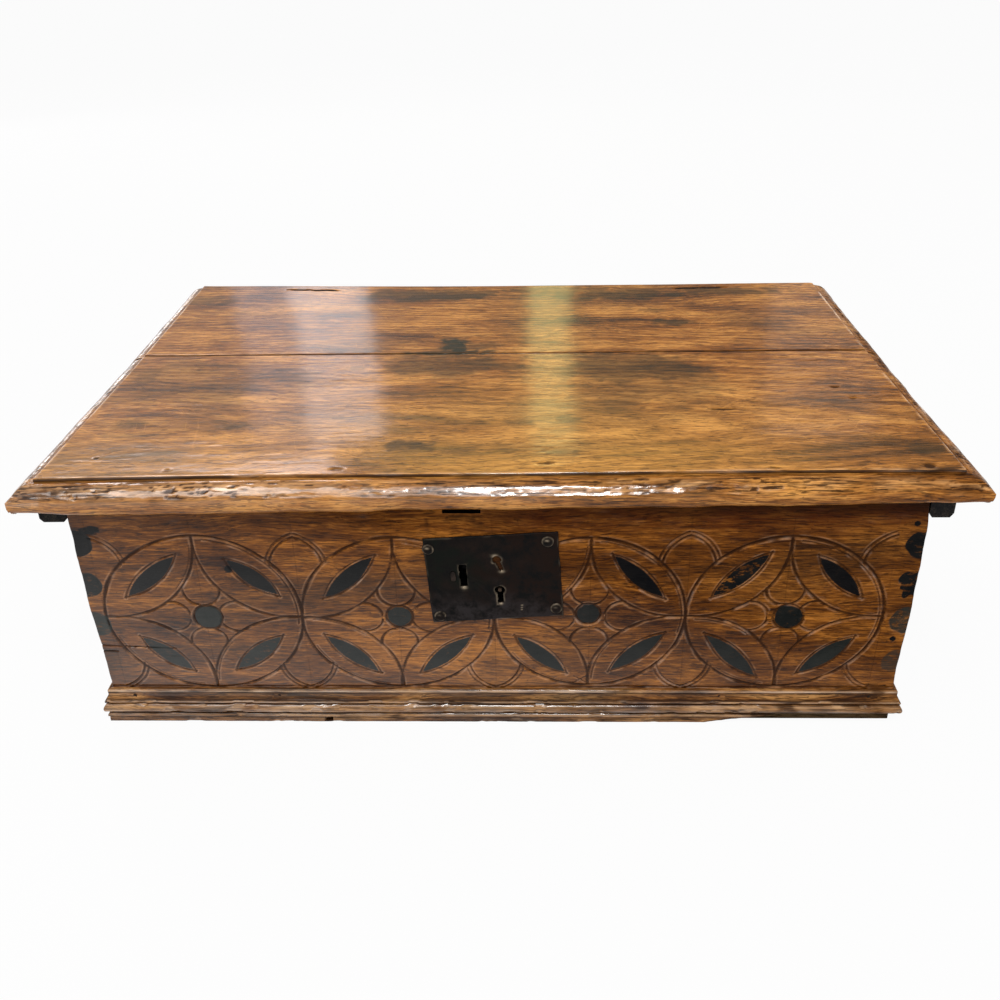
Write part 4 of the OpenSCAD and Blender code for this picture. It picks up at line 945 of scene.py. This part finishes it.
# %% One board of the lid
def lid_board(name, y0, y1, node):
    """The front board has the moulding on three sides, the rear board on its ends."""
    front_piece = y0 == lid_front
    seam = y1 if front_piece else y0
    fine_x = [side * (half_lid - d) for side in (-1, 1) for d in profile_d]
    fine_y = [lid_front + d for d in profile_d] if front_piece else [y1 - d for d in (0, 0.4, 1.1)]
    fine_y += [seam - d if front_piece else seam + d for d in (0, 0.3, 0.8, 1.6)]
    gx, gy = lines(-half_lid, half_lid, 1.25, fine_x), lines(y0, y1, 1.25, fine_y)
    x, y = np.meshgrid(gx, gy, indexing="ij")
    end_d, front_d = half_lid - np.abs(x), y - lid_front if front_piece else np.full(x.shape, 99.0)
    d, at_end = np.minimum(end_d, front_d), end_d < front_d
    seam_d = np.abs(y - seam)
    along, across = np.where(at_end, y * 1.3 + 700 * np.sign(x), x), d * 1.35

    # What wear took: chips and pits of the lip, splits along the grain, the worn corner and seam.
    lip = (1 - ramp(d, 11.0, 15.0)) * ramp(d, 0.0, 1.5)
    bruised = amount(along, along * 0, 90.0, 30, 2)
    rough_side = np.where(at_end, 0.35, 1.0) * (1 - 0.80 * bell(x, 15, 105.0))
    chip = ramp(lumps(along / 3.0, across * 2.0, 9.0, 31, 4) * bruised, 0.10, 0.60) * lip * rough_side
    pit = ramp(lumps(along / 2.2, across * 2.0, 4.5, 29, 3) * (0.35 + bruised), 0.45, 0.85) * lip * rough_side
    split = ramp(np.abs(lumps(along / 2.5, across * 6.0, 9.0, 32, 3)), 0.22, 0.0) * lip
    wear = amount(along, along * 0, 60.0, 33, 3) * (1 - ramp(d, 3.0, 15.0))
    corner = 1 - ramp(np.hypot(end_d, front_d), 2.0, 18.0)
    polished = bell(x, 10, 72.0) * (front_d < 40)
    worn_flat = np.interp(d, (0.5, 6.0), (10.6, 5.4))
    drop = edge_drop(d)
    drop = drop + (worn_flat - drop) * (0.10 + 0.75 * polished) * ((d > 0.5) & (d < 6.0))
    drop = drop + np.where(d > flat_start, round_off(d - flat_start, 1.0), 0)
    drop = drop + 0.35 * chip + 0.55 * pit + 0.22 * split + 0.5 * wear + 1.6 * corner * lip
    drop = drop + 0.22 * lumps(along / 3.0, across * 2.5, 7.0, 34, 3) * lip * rough_side
    ragged = amount(x, x * 0, 14.0, 35, 3)
    drop = drop + (0.5 + 0.9 * ragged) * np.where(seam_d < 1.6, (1 - seam_d / 1.6) ** 2, 0)
    if not front_piece:
        drop = drop + round_off(y1 - y, 1.0)

    # What the shader reads: dirt and painted shade, worn wood and painted highlights, shine, stains,
    # and painted golden light.
    dent, dirt, stain = old_marks(x, y, not front_piece)
    # Darkening along the step, at the foot of the roll and along the seam, and dirt in pits and splits.
    step = ramp(d, 16.2, 17.4) * (1 - ramp(d, 18.1, 18.45))
    dirt = most(dirt, step * patchy(0.9, 0.4, along, d, 25.0, 38, 2),
                bell(d, roll_end, 0.5) * 0.35 * (1 + lumps(along, d, 30.0, 48, 2)), bell(seam_d, 0, 1.1),
                0.7 * (1 - ramp(seam_d, 0, 5)) * ramp(lumps(x, y, 16.0, 39, 3), 0.0, 0.8),
                np.clip(0.95 * pit + 0.85 * split * (0.6 + 0.7 * lumps(along, across, 30.0, 52, 2)), 0, 1),
                (0.55 - 0.30 * (x < 0)) * lip * ramp(lumps(along / 2, across * 2, 14.0, 49, 4), 0.35, 0.9))
    # A painted sheen on the left of the roll: paler wood and a thicker coat.
    left_roll_sheen = (1 - ramp(x, -200, 60)) * bell(d, 7, 7.0) * (front_d <= end_d)
    # Chips show pale wood; the roll gets a painted highlight, and so does a line just above the step.
    rub = np.clip(chip + (0.10 + 0.35 * lumps(along / 3, across, 8.0, 54, 3)) * bell(d, 6, 6.0), 0, 1)
    rub = most(rub, 0.55 * left_roll_sheen * patchy(0.75, 0.8, along / 3, across, 6.0, 59, 3),
               0.8 * bell(d, 18.9, 0.8) * patchy(0.5, 1.0, along, d, 20.0, 50, 3))
    shine = 0.7 * polished * bell(d, 4, 4.0) + 0.9 * (x < -345) * (d < 17) + left_roll_sheen
    shine = shine + 1.2 * bell(d, 18.3, 0.5) * patchy(0.4, 1.0, along, d, 30.0, 57, 3)
    shine = shine * patchy(0.75, 0.5, along / 3, across, 10.0, 56, 3)
    # Painted light: a golden pool over the front middle of the lid, and another at its front left.
    warm = bell(x, 20, 230.0) * (1 - ramp(y, -190, 20)) * (0.75 + 0.35 * lumps(x / 2, y, 45.0, 53, 3))
    sunny = 0.55 * (1 - ramp(x, -260, 20)) * (1 - ramp(y, -205, -110))
    warm = most(warm, sunny) * (0.15 + 0.85 * ramp(d, 14.0, 22.0))
    marks = {"dirt": np.clip(dirt, 0, 1), "rub": rub * (1 - np.clip(dirt, 0, 1)), "stain": stain,
             "warm": warm, "shine": shine, "lip": lip * patchy(0.75, 0.6, along, across, 40.0, 55, 2)}

    # Where the points lie: the crown and the plane's waves on top, the sagging lip below.
    plane_wave = 0.25 * lumps(x / 2.5, y, 38.0, 36) + 0.05 * lumps(x / 6.0, y, 4.0, 37, 2)
    crown = 3.4 * (1 - np.abs(x / half_lid) ** 3) * (1 - ramp(y, -225, -40))
    top = lid_top - drop - dent + plane_wave * ramp(d, 16, 24) - 0.3 + twist(x, y) + crown
    sway = amount(along, along * 0, 55.0, 40, 4)
    inward = (1 - ramp(d, 0.0, 15.0)) * (0.2 + 1.8 * sway + 0.5 * chip)
    px = x - np.sign(x) * inward * np.where(end_d <= front_d + 6, 1.0, 0.0) * (1 - ramp(end_d, 0, 15))
    py = y + inward * (1 - ramp(front_d, 0, 15))
    low = lid_under + round_off(d, under_radius) + twist(x, y)
    low = low - 2.4 * (1 - ramp(x, -230, -20)) * (1 - ramp(front_d, 4.0, 12.5))
    hang = np.clip(lumps(along, along * 0, 48.0, 51, 3), -0.4, 1.0)
    low = low - 1.3 * (1 - ramp(d, 2.0, 11.0)) * hang * (1 - bell(x, -24, 30.0))
    near = np.stack([px, py, most(top, low + 1.2)], 2)
    keep = np.ones((len(gx) - 1, len(gy) - 1), bool)
    cell_d = (d[:-1, :-1] + d[1:, 1:]) / 2
    busy = stepped(near[..., 2], 0.035) | (cell_d < 19.5) | stepped(dirt, 0.25)
    piece = solid_between(name, near, np.stack([px, py, low], 2), keep, marks, busy,
                          stepped(low, 0.05) | (cell_d < 12))
    dress(piece, lid_oak, node, "lid")


lid_board("lid_wide_board", lid_front, seam_front, "lid_front_board")
lid_board("lid_narrow_board", seam_rear, lid_rear, "lid_rear_board")

# %% [markdown]
# ## The plinth
# The base moulding is a run of beads and hollows planed along a strip, then mitred at the front
# corners and nailed on. It could be extruded from its section, but then every bead would shine in one
# unbroken line. Here the section is swept along a grid whose beads lose a little wood by slow waves
# and small chips, and the lower bead breaks off along a rough line at the right, as on the real box.

# %% Section of the plinth
fillets = ((0.0, 5.4), (5.0, 4.0), (19.9, 4.9), (29.6, 3.0))
cove_start, cove_end, cove_middle, cove_radius = 23.2, 29.6, (9.1, 28.4), 6.2
beads = ((4.3, 6.9, 2.1), (3.5, 14.7, 4.6), (4.7, 21.6, 1.7))
break_line = ((160, 172, 190, 214, 238, 340), (-1.0, 0.0, 3.2, 7.0, 10.2, 10.4))


def plinth_out(z):
    """How far the moulding stands out at a height."""
    out = np.zeros(z.shape)
    for start, reach in fillets:
        out = np.where(z >= start, reach, out)
    cove = cove_middle[0] - np.sqrt(np.maximum(cove_radius ** 2 - (z - cove_middle[1]) ** 2, 0))
    out = np.where((z >= cove_start) & (z < cove_end), cove, out)
    for middle_out, middle_z, r in beads:
        bead = middle_out + np.sqrt(np.maximum(r * r - (z - middle_z) ** 2, 0))
        out = np.where(np.abs(z - middle_z) < r, most(out, bead), out)
    return out


def broken(x):
    """Height below which the front strip is missing."""
    return np.interp(x, *break_line) + np.where(x > 168, 0.5 * lumps(x, x * 0, 7.0, 41, 3), 0)


print("plinth stands out", [round(float(v), 1) for v in plinth_out(np.linspace(0, plinth_top, 12))])

# %% Sweep the plinth round three sides
# Each row is a height, a width and a strength, for the dirt and painted shade in the hollows and the
# wear and painted highlights on the crests.
hollows = ((19.7, 0.8, 1.0), (23.5, 0.9, 0.9), (9.6, 0.9, 1.0), (29.4, 0.6, 0.8), (4.9, 0.6, 0.7))
crests = ((31.2, 0.9, 1.2), (22.3, 0.8, 1.0), (17.5, 1.0, 0.8), (8.0, 0.8, 1.0), (14.0, 2.5, 0.4))
section_corners = (0, 0.5, 5, 8.95, 13.1, 19.9, 23.25, 29.55, 29.65, plinth_top - 0.5, plinth_top)
brad_height, layer = 26.4, 0.003


def plinth(name, node, place, span, pitch, material, cut_off, brads, notches=()):
    """place(t, out) gives x and y on the wall's line at t, standing out by out. Wax fills over the brads.
    Where the strip is broken off, its rows of points lie in thin layers just above the break."""
    ts, zs = lines(*span, pitch), lines(0, plinth_top, 0.55, section_corners)
    t, z = np.meshgrid(ts, zs, indexing="ij")
    out = plinth_out(z)
    bead = np.clip((out - 4.2) / 2.0, 0, 1)
    chip = ramp(lumps(t / 1.6, z, 7.0, 42 + len(name), 3), 0.35, 0.9)
    out = out - 0.5 * bead * amount(t, z, 70.0, 43) - 1.1 * bead * chip
    out = out - 0.6 * round_off(plinth_top - z, 1.0) - 0.5 * round_off(z, 0.6)
    out = out + 0.1 * lumps(t, z, 6.0, 44, 2) - 0.15
    hollow, crest = (sum(much * bell(z, at, wide) for at, wide, much in rows) for rows in (hollows, crests))
    level, gone = z, np.zeros(t.shape)
    if cut_off is not None:
        floor_z = cut_off(t)
        gone = np.clip(1 - (z - floor_z) / 1.5, 0, 1) * (floor_z > 0)
        level = np.where(z < floor_z, floor_z + layer * np.arange(len(zs))[None, :], z)
        out = np.where(floor_z > z, np.interp(floor_z, zs, plinth_out(zs)) - 0.5, out)
    for brad in brads:
        out = out + 0.75 * bell((t - brad) ** 2 + (z - brad_height) ** 2, 0, 9.0)
    # Dirt and painted shade in the hollows, darker where the strip broke off, and dirt in patches.
    dirt = np.clip(hollow * (0.95 + 0.35 * lumps(t, z, 40.0, 45, 2)) + 0.6 * gone, 0, 1)
    dirt = most(dirt, 0.7 * ramp(lumps(t / 3, z, 9.0, 46, 3), 0.45, 1.0))
    # The notches in the lower edge are painted black, as shade.
    for notch in notches:
        hit = (np.abs(t - notch) < 3.2) & (z < 5.5)
        dirt, out = np.where(hit, 1.0, dirt), np.where(hit & (z > 0.9), 1.5, out)
    # Wear and painted highlights on the crests; shine thickens the coat there.
    rub = np.clip(crest * (0.6 + 0.5 * lumps(t / 2, z, 14.0, 47, 2)) + 0.35 * chip * bead, 0, 1)
    shine = np.clip(1.2 * crest * (0.3 + 0.9 * lumps(t / 3, z, 9.0, 58, 3)), 0, 1)
    marks = {"dirt": dirt, "rub": rub * (1 - dirt), "lip": np.full(t.shape, 0.6), "shine": shine}
    near, far = (np.stack([*place(t, reach), level], 2) for reach in (out, np.zeros(t.shape)))
    everywhere = np.ones((len(ts) - 1, len(zs) - 1), bool)
    piece = solid_between(name, near, far, everywhere, marks, everywhere, ~everywhere)
    dress(piece, material, node, "carcase")


wall_deep, mitre_run, side_brads = plinth_rear - front_y, 327.5, (40, 218, 396)


def front_wall(t, out):
    """From left to right along the front, longer the further it stands out, which mitres both ends."""
    return t * (half_box + out) / half_box, front_y - out


def left_wall(t, out):
    """From the back to the front, growing into the mitre on the way."""
    return -half_box - out, plinth_rear - t - out * np.clip((t - (wall_deep - mitre_run)) / mitre_run, 0, 1)


def right_wall(t, out):
    """From the front to the back, out of the mitre."""
    return half_box + out, t + front_y - out * np.clip((mitre_run - t) / mitre_run, 0, 1)


plinth("front_moulding", "front_plinth", front_wall, (-half_box, half_box), 1.6, plinth_oak, broken,
       (-310, -186, -62, 62, 186, 310), (-143, 196))
plinth("left_moulding", "left_plinth", left_wall, (0, wall_deep), 2.4, plinth_side_oak, None, side_brads)
plinth("right_moulding", "right_plinth", right_wall, (0, wall_deep), 2.4, plinth_side_oak,
       lambda t: np.interp(t, (0, 49.2, 70), (10.4, 10.4, -1.0)), [wall_deep - brad for brad in side_brads])

# %% [markdown]
# ## What hangs on the twisted lid
# The battens and the clinched hinge wires sit on the lid, so they have to follow its twist.
# They could be bent with a lattice, but the twist is a plain formula. So each piece is copied from the
# CAD, cut into short lengths where it is long, and raised by the same formula as the boards.
# The photograph also shows the left batten a little further out and the right one a little narrower.

# %% Bend the pieces that the lid carries
left_shift, right_squeeze = -2.0, 0.16
free_below, held_above = 190.0, 204.0


def follow_lid(node, material, cuts=(), rough=0.0, narrow=False):
    """A copy of a CAD piece that follows the twist where it is held, and not at its free lower end."""
    shape = bmesh.new()
    shape.from_mesh(nodes[node].data)
    bmesh.ops.remove_doubles(shape, verts=shape.verts, dist=weld_gap)
    for y in cuts:
        bmesh.ops.bisect_plane(shape, geom=shape.verts[:] + shape.edges[:] + shape.faces[:],
                               plane_co=(0, y * MM, 0), plane_no=(0, 1, 0))
    for v in shape.verts:
        x, y, z = (c / MM for c in v.co)
        if narrow:
            v.co.x += (left_shift if x < 0 else right_squeeze * (batten_in - x)) * MM
        hold = float(np.clip((z - free_below) / (held_above - free_below), 0.0, 1.0))
        v.co.z += float(twist(x, y)) * hold * MM
        if rough:
            v.co.z += rough * float(lumps(x, z, 9.0, 60, 2)) * MM
            v.co.x += rough * float(lumps(y, z, 14.0, 61, 2)) * MM
    bmesh.ops.dissolve_limit(shape, angle_limit=math.radians(0.5), verts=shape.verts[:], edges=shape.edges[:])
    mesh = bpy.data.meshes.new("bent_" + node)
    shape.to_mesh(mesh)
    shape.free()
    mesh.materials.clear()
    piece = to_piece(mesh, mesh.name, 40)
    dress(piece, material, node, "lid")
    return piece


def soften(piece, wide, angle):
    """Rounds the edges that turn by more than that angle, by that width in millimetres."""
    soft = piece.modifiers.new("soft edges", "BEVEL")
    soft.width, soft.segments = wide * MM, 2
    soft.limit_method, soft.angle_limit = "ANGLE", math.radians(angle)
    return soft


for side in ("left", "right"):
    soften(follow_lid(side + "_batten", dark_oak, range(-210, 215, 15), 0.35, True), 0.9, 30)
    follow_lid(side + "_lid_hinge_pin", nail_iron)
follow_lid("batten_nails", nail_iron, narrow=True)

# %% [markdown]
# ## The lock plate
# The plate was hammered from sheet, cut with a chisel and pinned with four raised nails, a little
# askew. It has a slot for the hasp's staple, a keyhole, and an older keyhole that was filed crooked.
# A perfect rectangle would look laser-cut. So the plate is a grid whose outline wanders by half a
# millimetre, whose edge is dented and whose holes are worn bright where metal rubbed on metal, with
# painted highlights along its edge, round its holes and on its nail heads.

# %% Outline and holes of the lock plate
half_wide, half_high = 53.25, 40
us, vs = lines(-half_wide, half_wide, 0.55), lines(-half_high, half_high, 0.55)
u, v = np.meshgrid(us, vs, indexing="ij")


def on_front(u, v, out):
    """The place of a point of the tilted plate that stands out from the front by that much."""
    turn_x, turn_z = math.cos(plate_tilt), math.sin(plate_tilt)
    return np.stack([plate_middle[0] + u * turn_x - v * turn_z, front_y - out,
                     plate_middle[1] + u * turn_z + v * turn_x], -1)


def box_hole(u, v, half_u, half_v):
    """The distance to the outline of a square hole round the origin, negative inside."""
    return np.maximum(np.abs(u) - half_u, np.abs(v) - half_v)


key_place, old_key_place = (3.6, -11.5), (3.4, 17.2)
tail_u, tail_v = in_frame(u, v, old_key_place, math.radians(17))
slot_hole = box_hole(u + 24.3, v - 4, 3.0, 10.5)
key_hole = np.minimum(np.hypot(u - key_place[0], v - key_place[1]) - 4.0,
                      box_hole(u - key_place[0], v + 18.0, 2.3, 6.3))
old_hole = np.minimum(np.hypot(u - old_key_place[0], v - old_key_place[1]) - 3.6,
                      box_hole(tail_u, tail_v + 5.5, 1.9, 5.5))
stop_hole = np.hypot(u + 32.3, np.maximum(np.abs(v - 4) - 2.5, 0)) - 2.05
hole = np.minimum(np.minimum(slot_hole, key_hole), old_hole) + 0.25 * lumps(u, v, 3.0, 70, 2)
nearest = np.minimum(hole, stop_hole)
keep = (nearest[:-1, :-1] + nearest[1:, :-1] + nearest[:-1, 1:] + nearest[1:, 1:]) / 4 > 0
print("the holes take", int((~keep).sum()), "of", keep.size, "cells")

# %% Hammer the lock plate
to_side, to_edge = half_wide - np.abs(u), half_high - np.abs(v)
rim = np.minimum(to_side, to_edge)
proud = plate_thick - round_off(rim, 0.9) - 0.8 * round_off(np.maximum(nearest, 0.0), 0.8)
proud = proud - 0.22 * amount(u, v, 15.0, 71, 2) - 0.35 * (1 - ramp(rim, 0, 4)) * amount(u, v, 9.0, 72, 2)
for start, end, deep in (((-14, -4), (-8, -13), 0.25), ((-11, -7), (-6, -15), 0.2),
                         ((-38, -22), (24, -27), 0.08), ((-18, 2), (-9, -4), 0.15),
                         ((6, -24), (20, -25), 0.12)):
    proud = proud - deep * bell(from_line(u, v, start, end), 0, 0.7)
edge_u = u - np.sign(u) * 0.7 * amount(v, np.sign(u) * 40, 14.0, 73, 3) * (1 - ramp(to_side, 0, 8))
edge_v = v - np.sign(v) * 0.7 * amount(u, np.sign(v) * 40, 14.0, 74, 3) * (1 - ramp(to_edge, 0, 8))
# Worn metal and painted highlights round the holes, along the rim and at both keyholes.
bright = most(0.35 * bell(np.maximum(hole, 0), 0, 0.7) * patchy(0.35, 0.8, u, v, 5.0, 75, 2),
              0.35 * bell(rim, 0.6, 0.6) * patchy(0.0, 0.8, u, v, 12.0, 76, 2),
              0.8 * bell(np.abs(old_hole), 0.6, 0.7) * (v > 14) * patchy(0.5, 1.0, u, v, 4.0, 77),
              0.5 * bell(np.abs(key_hole), 0.6, 0.6) * patchy(0.4, 1.0, u, v, 4.0, 78))
# Painted highlights in small spots, such as the bright lower end of the slot.
for a, b, r in ((-24.3, -7.2, 2.0), (6.6, 6.4, 2.0), (3.6, -24.6, 1.4), (2.2, 21.2, 2.2), (20.3, -27.0, 0.8),
                (20.0, -29.2, 0.7), (19.8, -31.2, 0.7)):
    bright = most(bright, bell(np.hypot(u - a, (v - b) * 1.6), 0, r))
uneven = lumps(u, v, 22.0, 79, 4)
marks = {"bright": np.clip(bright, 0, 1),
         "verdigris": ramp(-u + 30 * uneven, 0, 30) * ramp(v + 20 * uneven, -25, 0),
         "rust": ramp(u + 30 * uneven, -10, 30), "ash": ramp(-v - u * 0.3 + 14 * uneven, 12, 40)}
near, far = (on_front(edge_u, edge_v, out) for out in (proud, proud * 0))
busy = stepped(proud, 0.02) | stepped(marks["bright"], 0.15)
plate = solid_between("hammered_plate", near, far, keep, marks, busy, np.zeros(keep.shape, bool))
dress(plate, plate_iron, "lock_plate", "carcase")

# %% Raise the nail heads on the plate
parts = bmesh.new()
bright_layer = parts.verts.layers.float.new("bright")
rings, sides, head_radius = 9, 28, 4.9
# Each head is its place on the plate and the strength of its painted glint.
heads = ((-49.35, 30.8, 0.9), (44.45, 31.9, 0.9), (47.45, -31.5, 0.25), (-46.45, -33.2, 0.2))
for k, (a, b, painted_glint) in enumerate(heads):
    rows = []
    for r in (head_radius * i / rings for i in range(rings + 1)):
        row = []
        for turn in (j * math.tau / sides for j in range(sides)):
            wobble = 1 + 0.07 * float(lumps(math.cos(turn) * 3 + 9 * k, math.sin(turn) * 3, 2.0, 80))
            du, dv = r * wobble * math.cos(turn), r * wobble * math.sin(turn)
            h = plate_thick + 1.9 * math.sqrt(max(0.0, 1 - (r / 4.95) ** 2)) ** 1.3
            h -= 0.55 * math.exp(-((du + 0.9) ** 2 + (dv - 0.6) ** 2) / 1.6)
            h += 0.12 * float(lumps(du + 20 * k, dv, 1.6, 81, 2))
            # The rim of each head is worn bright, and a painted glint lies near its upper left.
            worn = math.exp(-((r - 4.3) / 0.5) ** 2)
            worn *= 0.35 + 0.5 * float(lumps(turn * 2 + 7 * k, 0, 1.0, 82))
            worn += painted_glint * math.exp(-((du + 0.6) ** 2 + ((dv - 1.6) * 1.8) ** 2) / 2.2)
            point = parts.verts.new((on_front(a + du, b + dv, max(h, plate_thick - 0.25)) * MM).tolist())
            point[bright_layer] = min(max(worn, 0.0), 1.0)
            row.append(point)
        rows.append(row)
    rows.append([parts.verts.new(v.co + Vector((0, 3.0 * MM, 0))) for v in rows[-1]])
    for one, two in zip(rows, rows[1:]):
        for j in range(sides):
            parts.faces.new((one[j], one[(j + 1) % sides], two[(j + 1) % sides], two[j]))
    parts.faces.new(rows[-1][::-1])
bmesh.ops.remove_doubles(parts, verts=parts.verts, dist=0.000002)
bmesh.ops.recalc_face_normals(parts, faces=parts.faces)
mesh = bpy.data.meshes.new("plate_nail_heads")
parts.to_mesh(mesh)
parts.free()
dress(to_piece(mesh, mesh.name, 55), plate_iron, "lock_nails", "carcase")
print(len(heads), "heads of", len(mesh.vertices) // len(heads), "points")

# %% [markdown]
# ## The pieces that stay as the CAD made them
# The ends, the back, the bottom and the works of the lock are already right in shape.
# Only their knife-sharp edges give them away, because no real edge is that sharp. A bevel of less
# than a millimetre catches a thin line of light there. The welding first joins the corners that the
# mesh of the CAD keeps apart, or the bevel would open every edge.

# %% Dress the CAD pieces
finishes = {
    "back_board": (board_oak, 0.8), "left_end_board": (end_oak, 0.8), "right_end_board": (end_oak, 0.8),
    "bottom_front_board": (bottom_oak, 0.8), "bottom_rear_board": (bottom_oak, 0.8),
    "bolt_stop": (nail_iron, 0.1),
    "bolt_guides": (works_iron, 0.2), "bolt_spring": (works_iron, 0.0), "lock_bridge": (works_iron, 0.2),
    "key_pin": (works_iron, 0.0), "lock_bolt": (works_iron, 0.2),
}
for node, thing in nodes.items():
    material, bevel = finishes.get(node, (nail_iron, 0.0))
    thing.data.materials.clear()
    thing.data.materials.append(material)
    if bevel:
        weld = thing.modifiers.new("weld", "WELD")
        weld.merge_threshold = weld_gap
        soften(thing, bevel, 35).harden_normals = True
print("dressed", len(nodes), "CAD pieces")

# %% [markdown]
# ## Floor and light
# The box stood in a white studio, cut out so closely that hardly a shadow is left.
# The floor is white to the camera, with a little of its own shading kept, so the box still touches
# something. One wide soft lamp above the front and an even world give the plain light, and a small
# strong one, the key, is mirrored by the front nose and by the glints beside the cuts.
# Six lamps far behind are only there for the wax. The lid mirrors four of them as upright bands, and
# the other two lighten its left side and the moulding of its left end.

# %% Floor, world and lamps
bpy.ops.mesh.primitive_plane_add(size=60, location=(0, 0, 0))
ground = bpy.context.object
ground.name = "ground"
white = bpy.data.materials.new("white_ground")
white.use_nodes = True
tree = white.node_tree
tree.nodes.clear()
path = tree.nodes.new("ShaderNodeLightPath")
seen = Wire(path.outputs["Is Camera Ray"]) + Wire(path.outputs["Is Glossy Ray"])
seen = (seen + Wire(path.outputs["Is Transmission Ray"])).clamp() * 0.95
matte, glow = tree.nodes.new("ShaderNodeBsdfDiffuse"), tree.nodes.new("ShaderNodeEmission")
matte.inputs["Color"].default_value = (0.7, 0.7, 0.7, 1)
glow.inputs["Color"].default_value = (1, 1, 1, 1)
blend, end = tree.nodes.new("ShaderNodeMixShader"), tree.nodes.new("ShaderNodeOutputMaterial")
tree.links.new(seen.socket, blend.inputs[0])
tree.links.new(matte.outputs[0], blend.inputs[1])
tree.links.new(glow.outputs[0], blend.inputs[2])
tree.links.new(blend.outputs[0], end.inputs[0])
ground.data.materials.append(white)
ground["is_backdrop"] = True

world = bpy.data.worlds.new("studio")
bpy.context.scene.world = world
world.use_nodes = True
sky = world.node_tree
sky.nodes.clear()
wall = sky.nodes.new("ShaderNodeBackground")
wall.inputs["Strength"].default_value = 0.5
sky.links.new(wall.outputs[0], sky.nodes.new("ShaderNodeOutputWorld").inputs[0])


def lamp(name, place, aim, width, height, radiance, colour=(1, 1, 1)):
    """A soft lamp of that size whose face has that brightness, where 1 is white."""
    light = bpy.data.lights.new(name, "AREA")
    light.shape, light.size, light.size_y = "RECTANGLE", width, height
    light.energy, light.color = radiance * math.pi * width * height, colour
    thing = bpy.data.objects.new(name, light)
    thing.location = place
    thing.rotation_euler = (Vector(aim) - Vector(place)).to_track_quat("-Z", "Y").to_euler()
    bpy.context.scene.collection.objects.link(thing)


lamp("top_soft", (-0.5, -1.3, 2.6), (0, 0, 0.1), 2.2, 1.6, 2.4)
lamp("key", (0.05, -1.42, 2.32), (0, -0.1, 0.2), 0.46, 0.42, 38.0)
lamp("high_left", (-1.55, 3.0, 2.40), (0, 0, 0.23), 1.5, 0.85, 7.0, (1.0, 0.91, 0.92))
lamp("left_rim", (-2.15, 2.9, 0.65), (-0.35, 0, 0.23), 1.10, 0.40, 3.5)
lamp("band_left", (-0.77, 3.0, 1.28), (0, 0, 0.23), 0.30, 0.66, 4.4, (0.95, 0.90, 0.92))
lamp("band_left_soft", (-1.04, 3.0, 1.28), (0, 0, 0.23), 0.24, 0.66, 1.4, (0.90, 0.88, 1.0))
lamp("band_middle", (0.10, 3.0, 1.30), (0, 0, 0.23), 0.17, 0.70, 5.4, (1.0, 0.92, 0.36))
lamp("band_right", (1.22, 3.0, 1.20), (0, 0, 0.23), 0.45, 0.60, 2.2, (1.0, 0.96, 0.88))

# %% [markdown]
# ## Does it still fit?
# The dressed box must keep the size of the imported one, or anything placed beside it would collide.

# %% Compare the sizes and finish
for title, corners in (("cad", cad_box), ("scene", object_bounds())):
    row = title + " " + " ".join(f"{v:.4f}" for corner in corners for v in corner)
    row + chr(10)
    print(row)
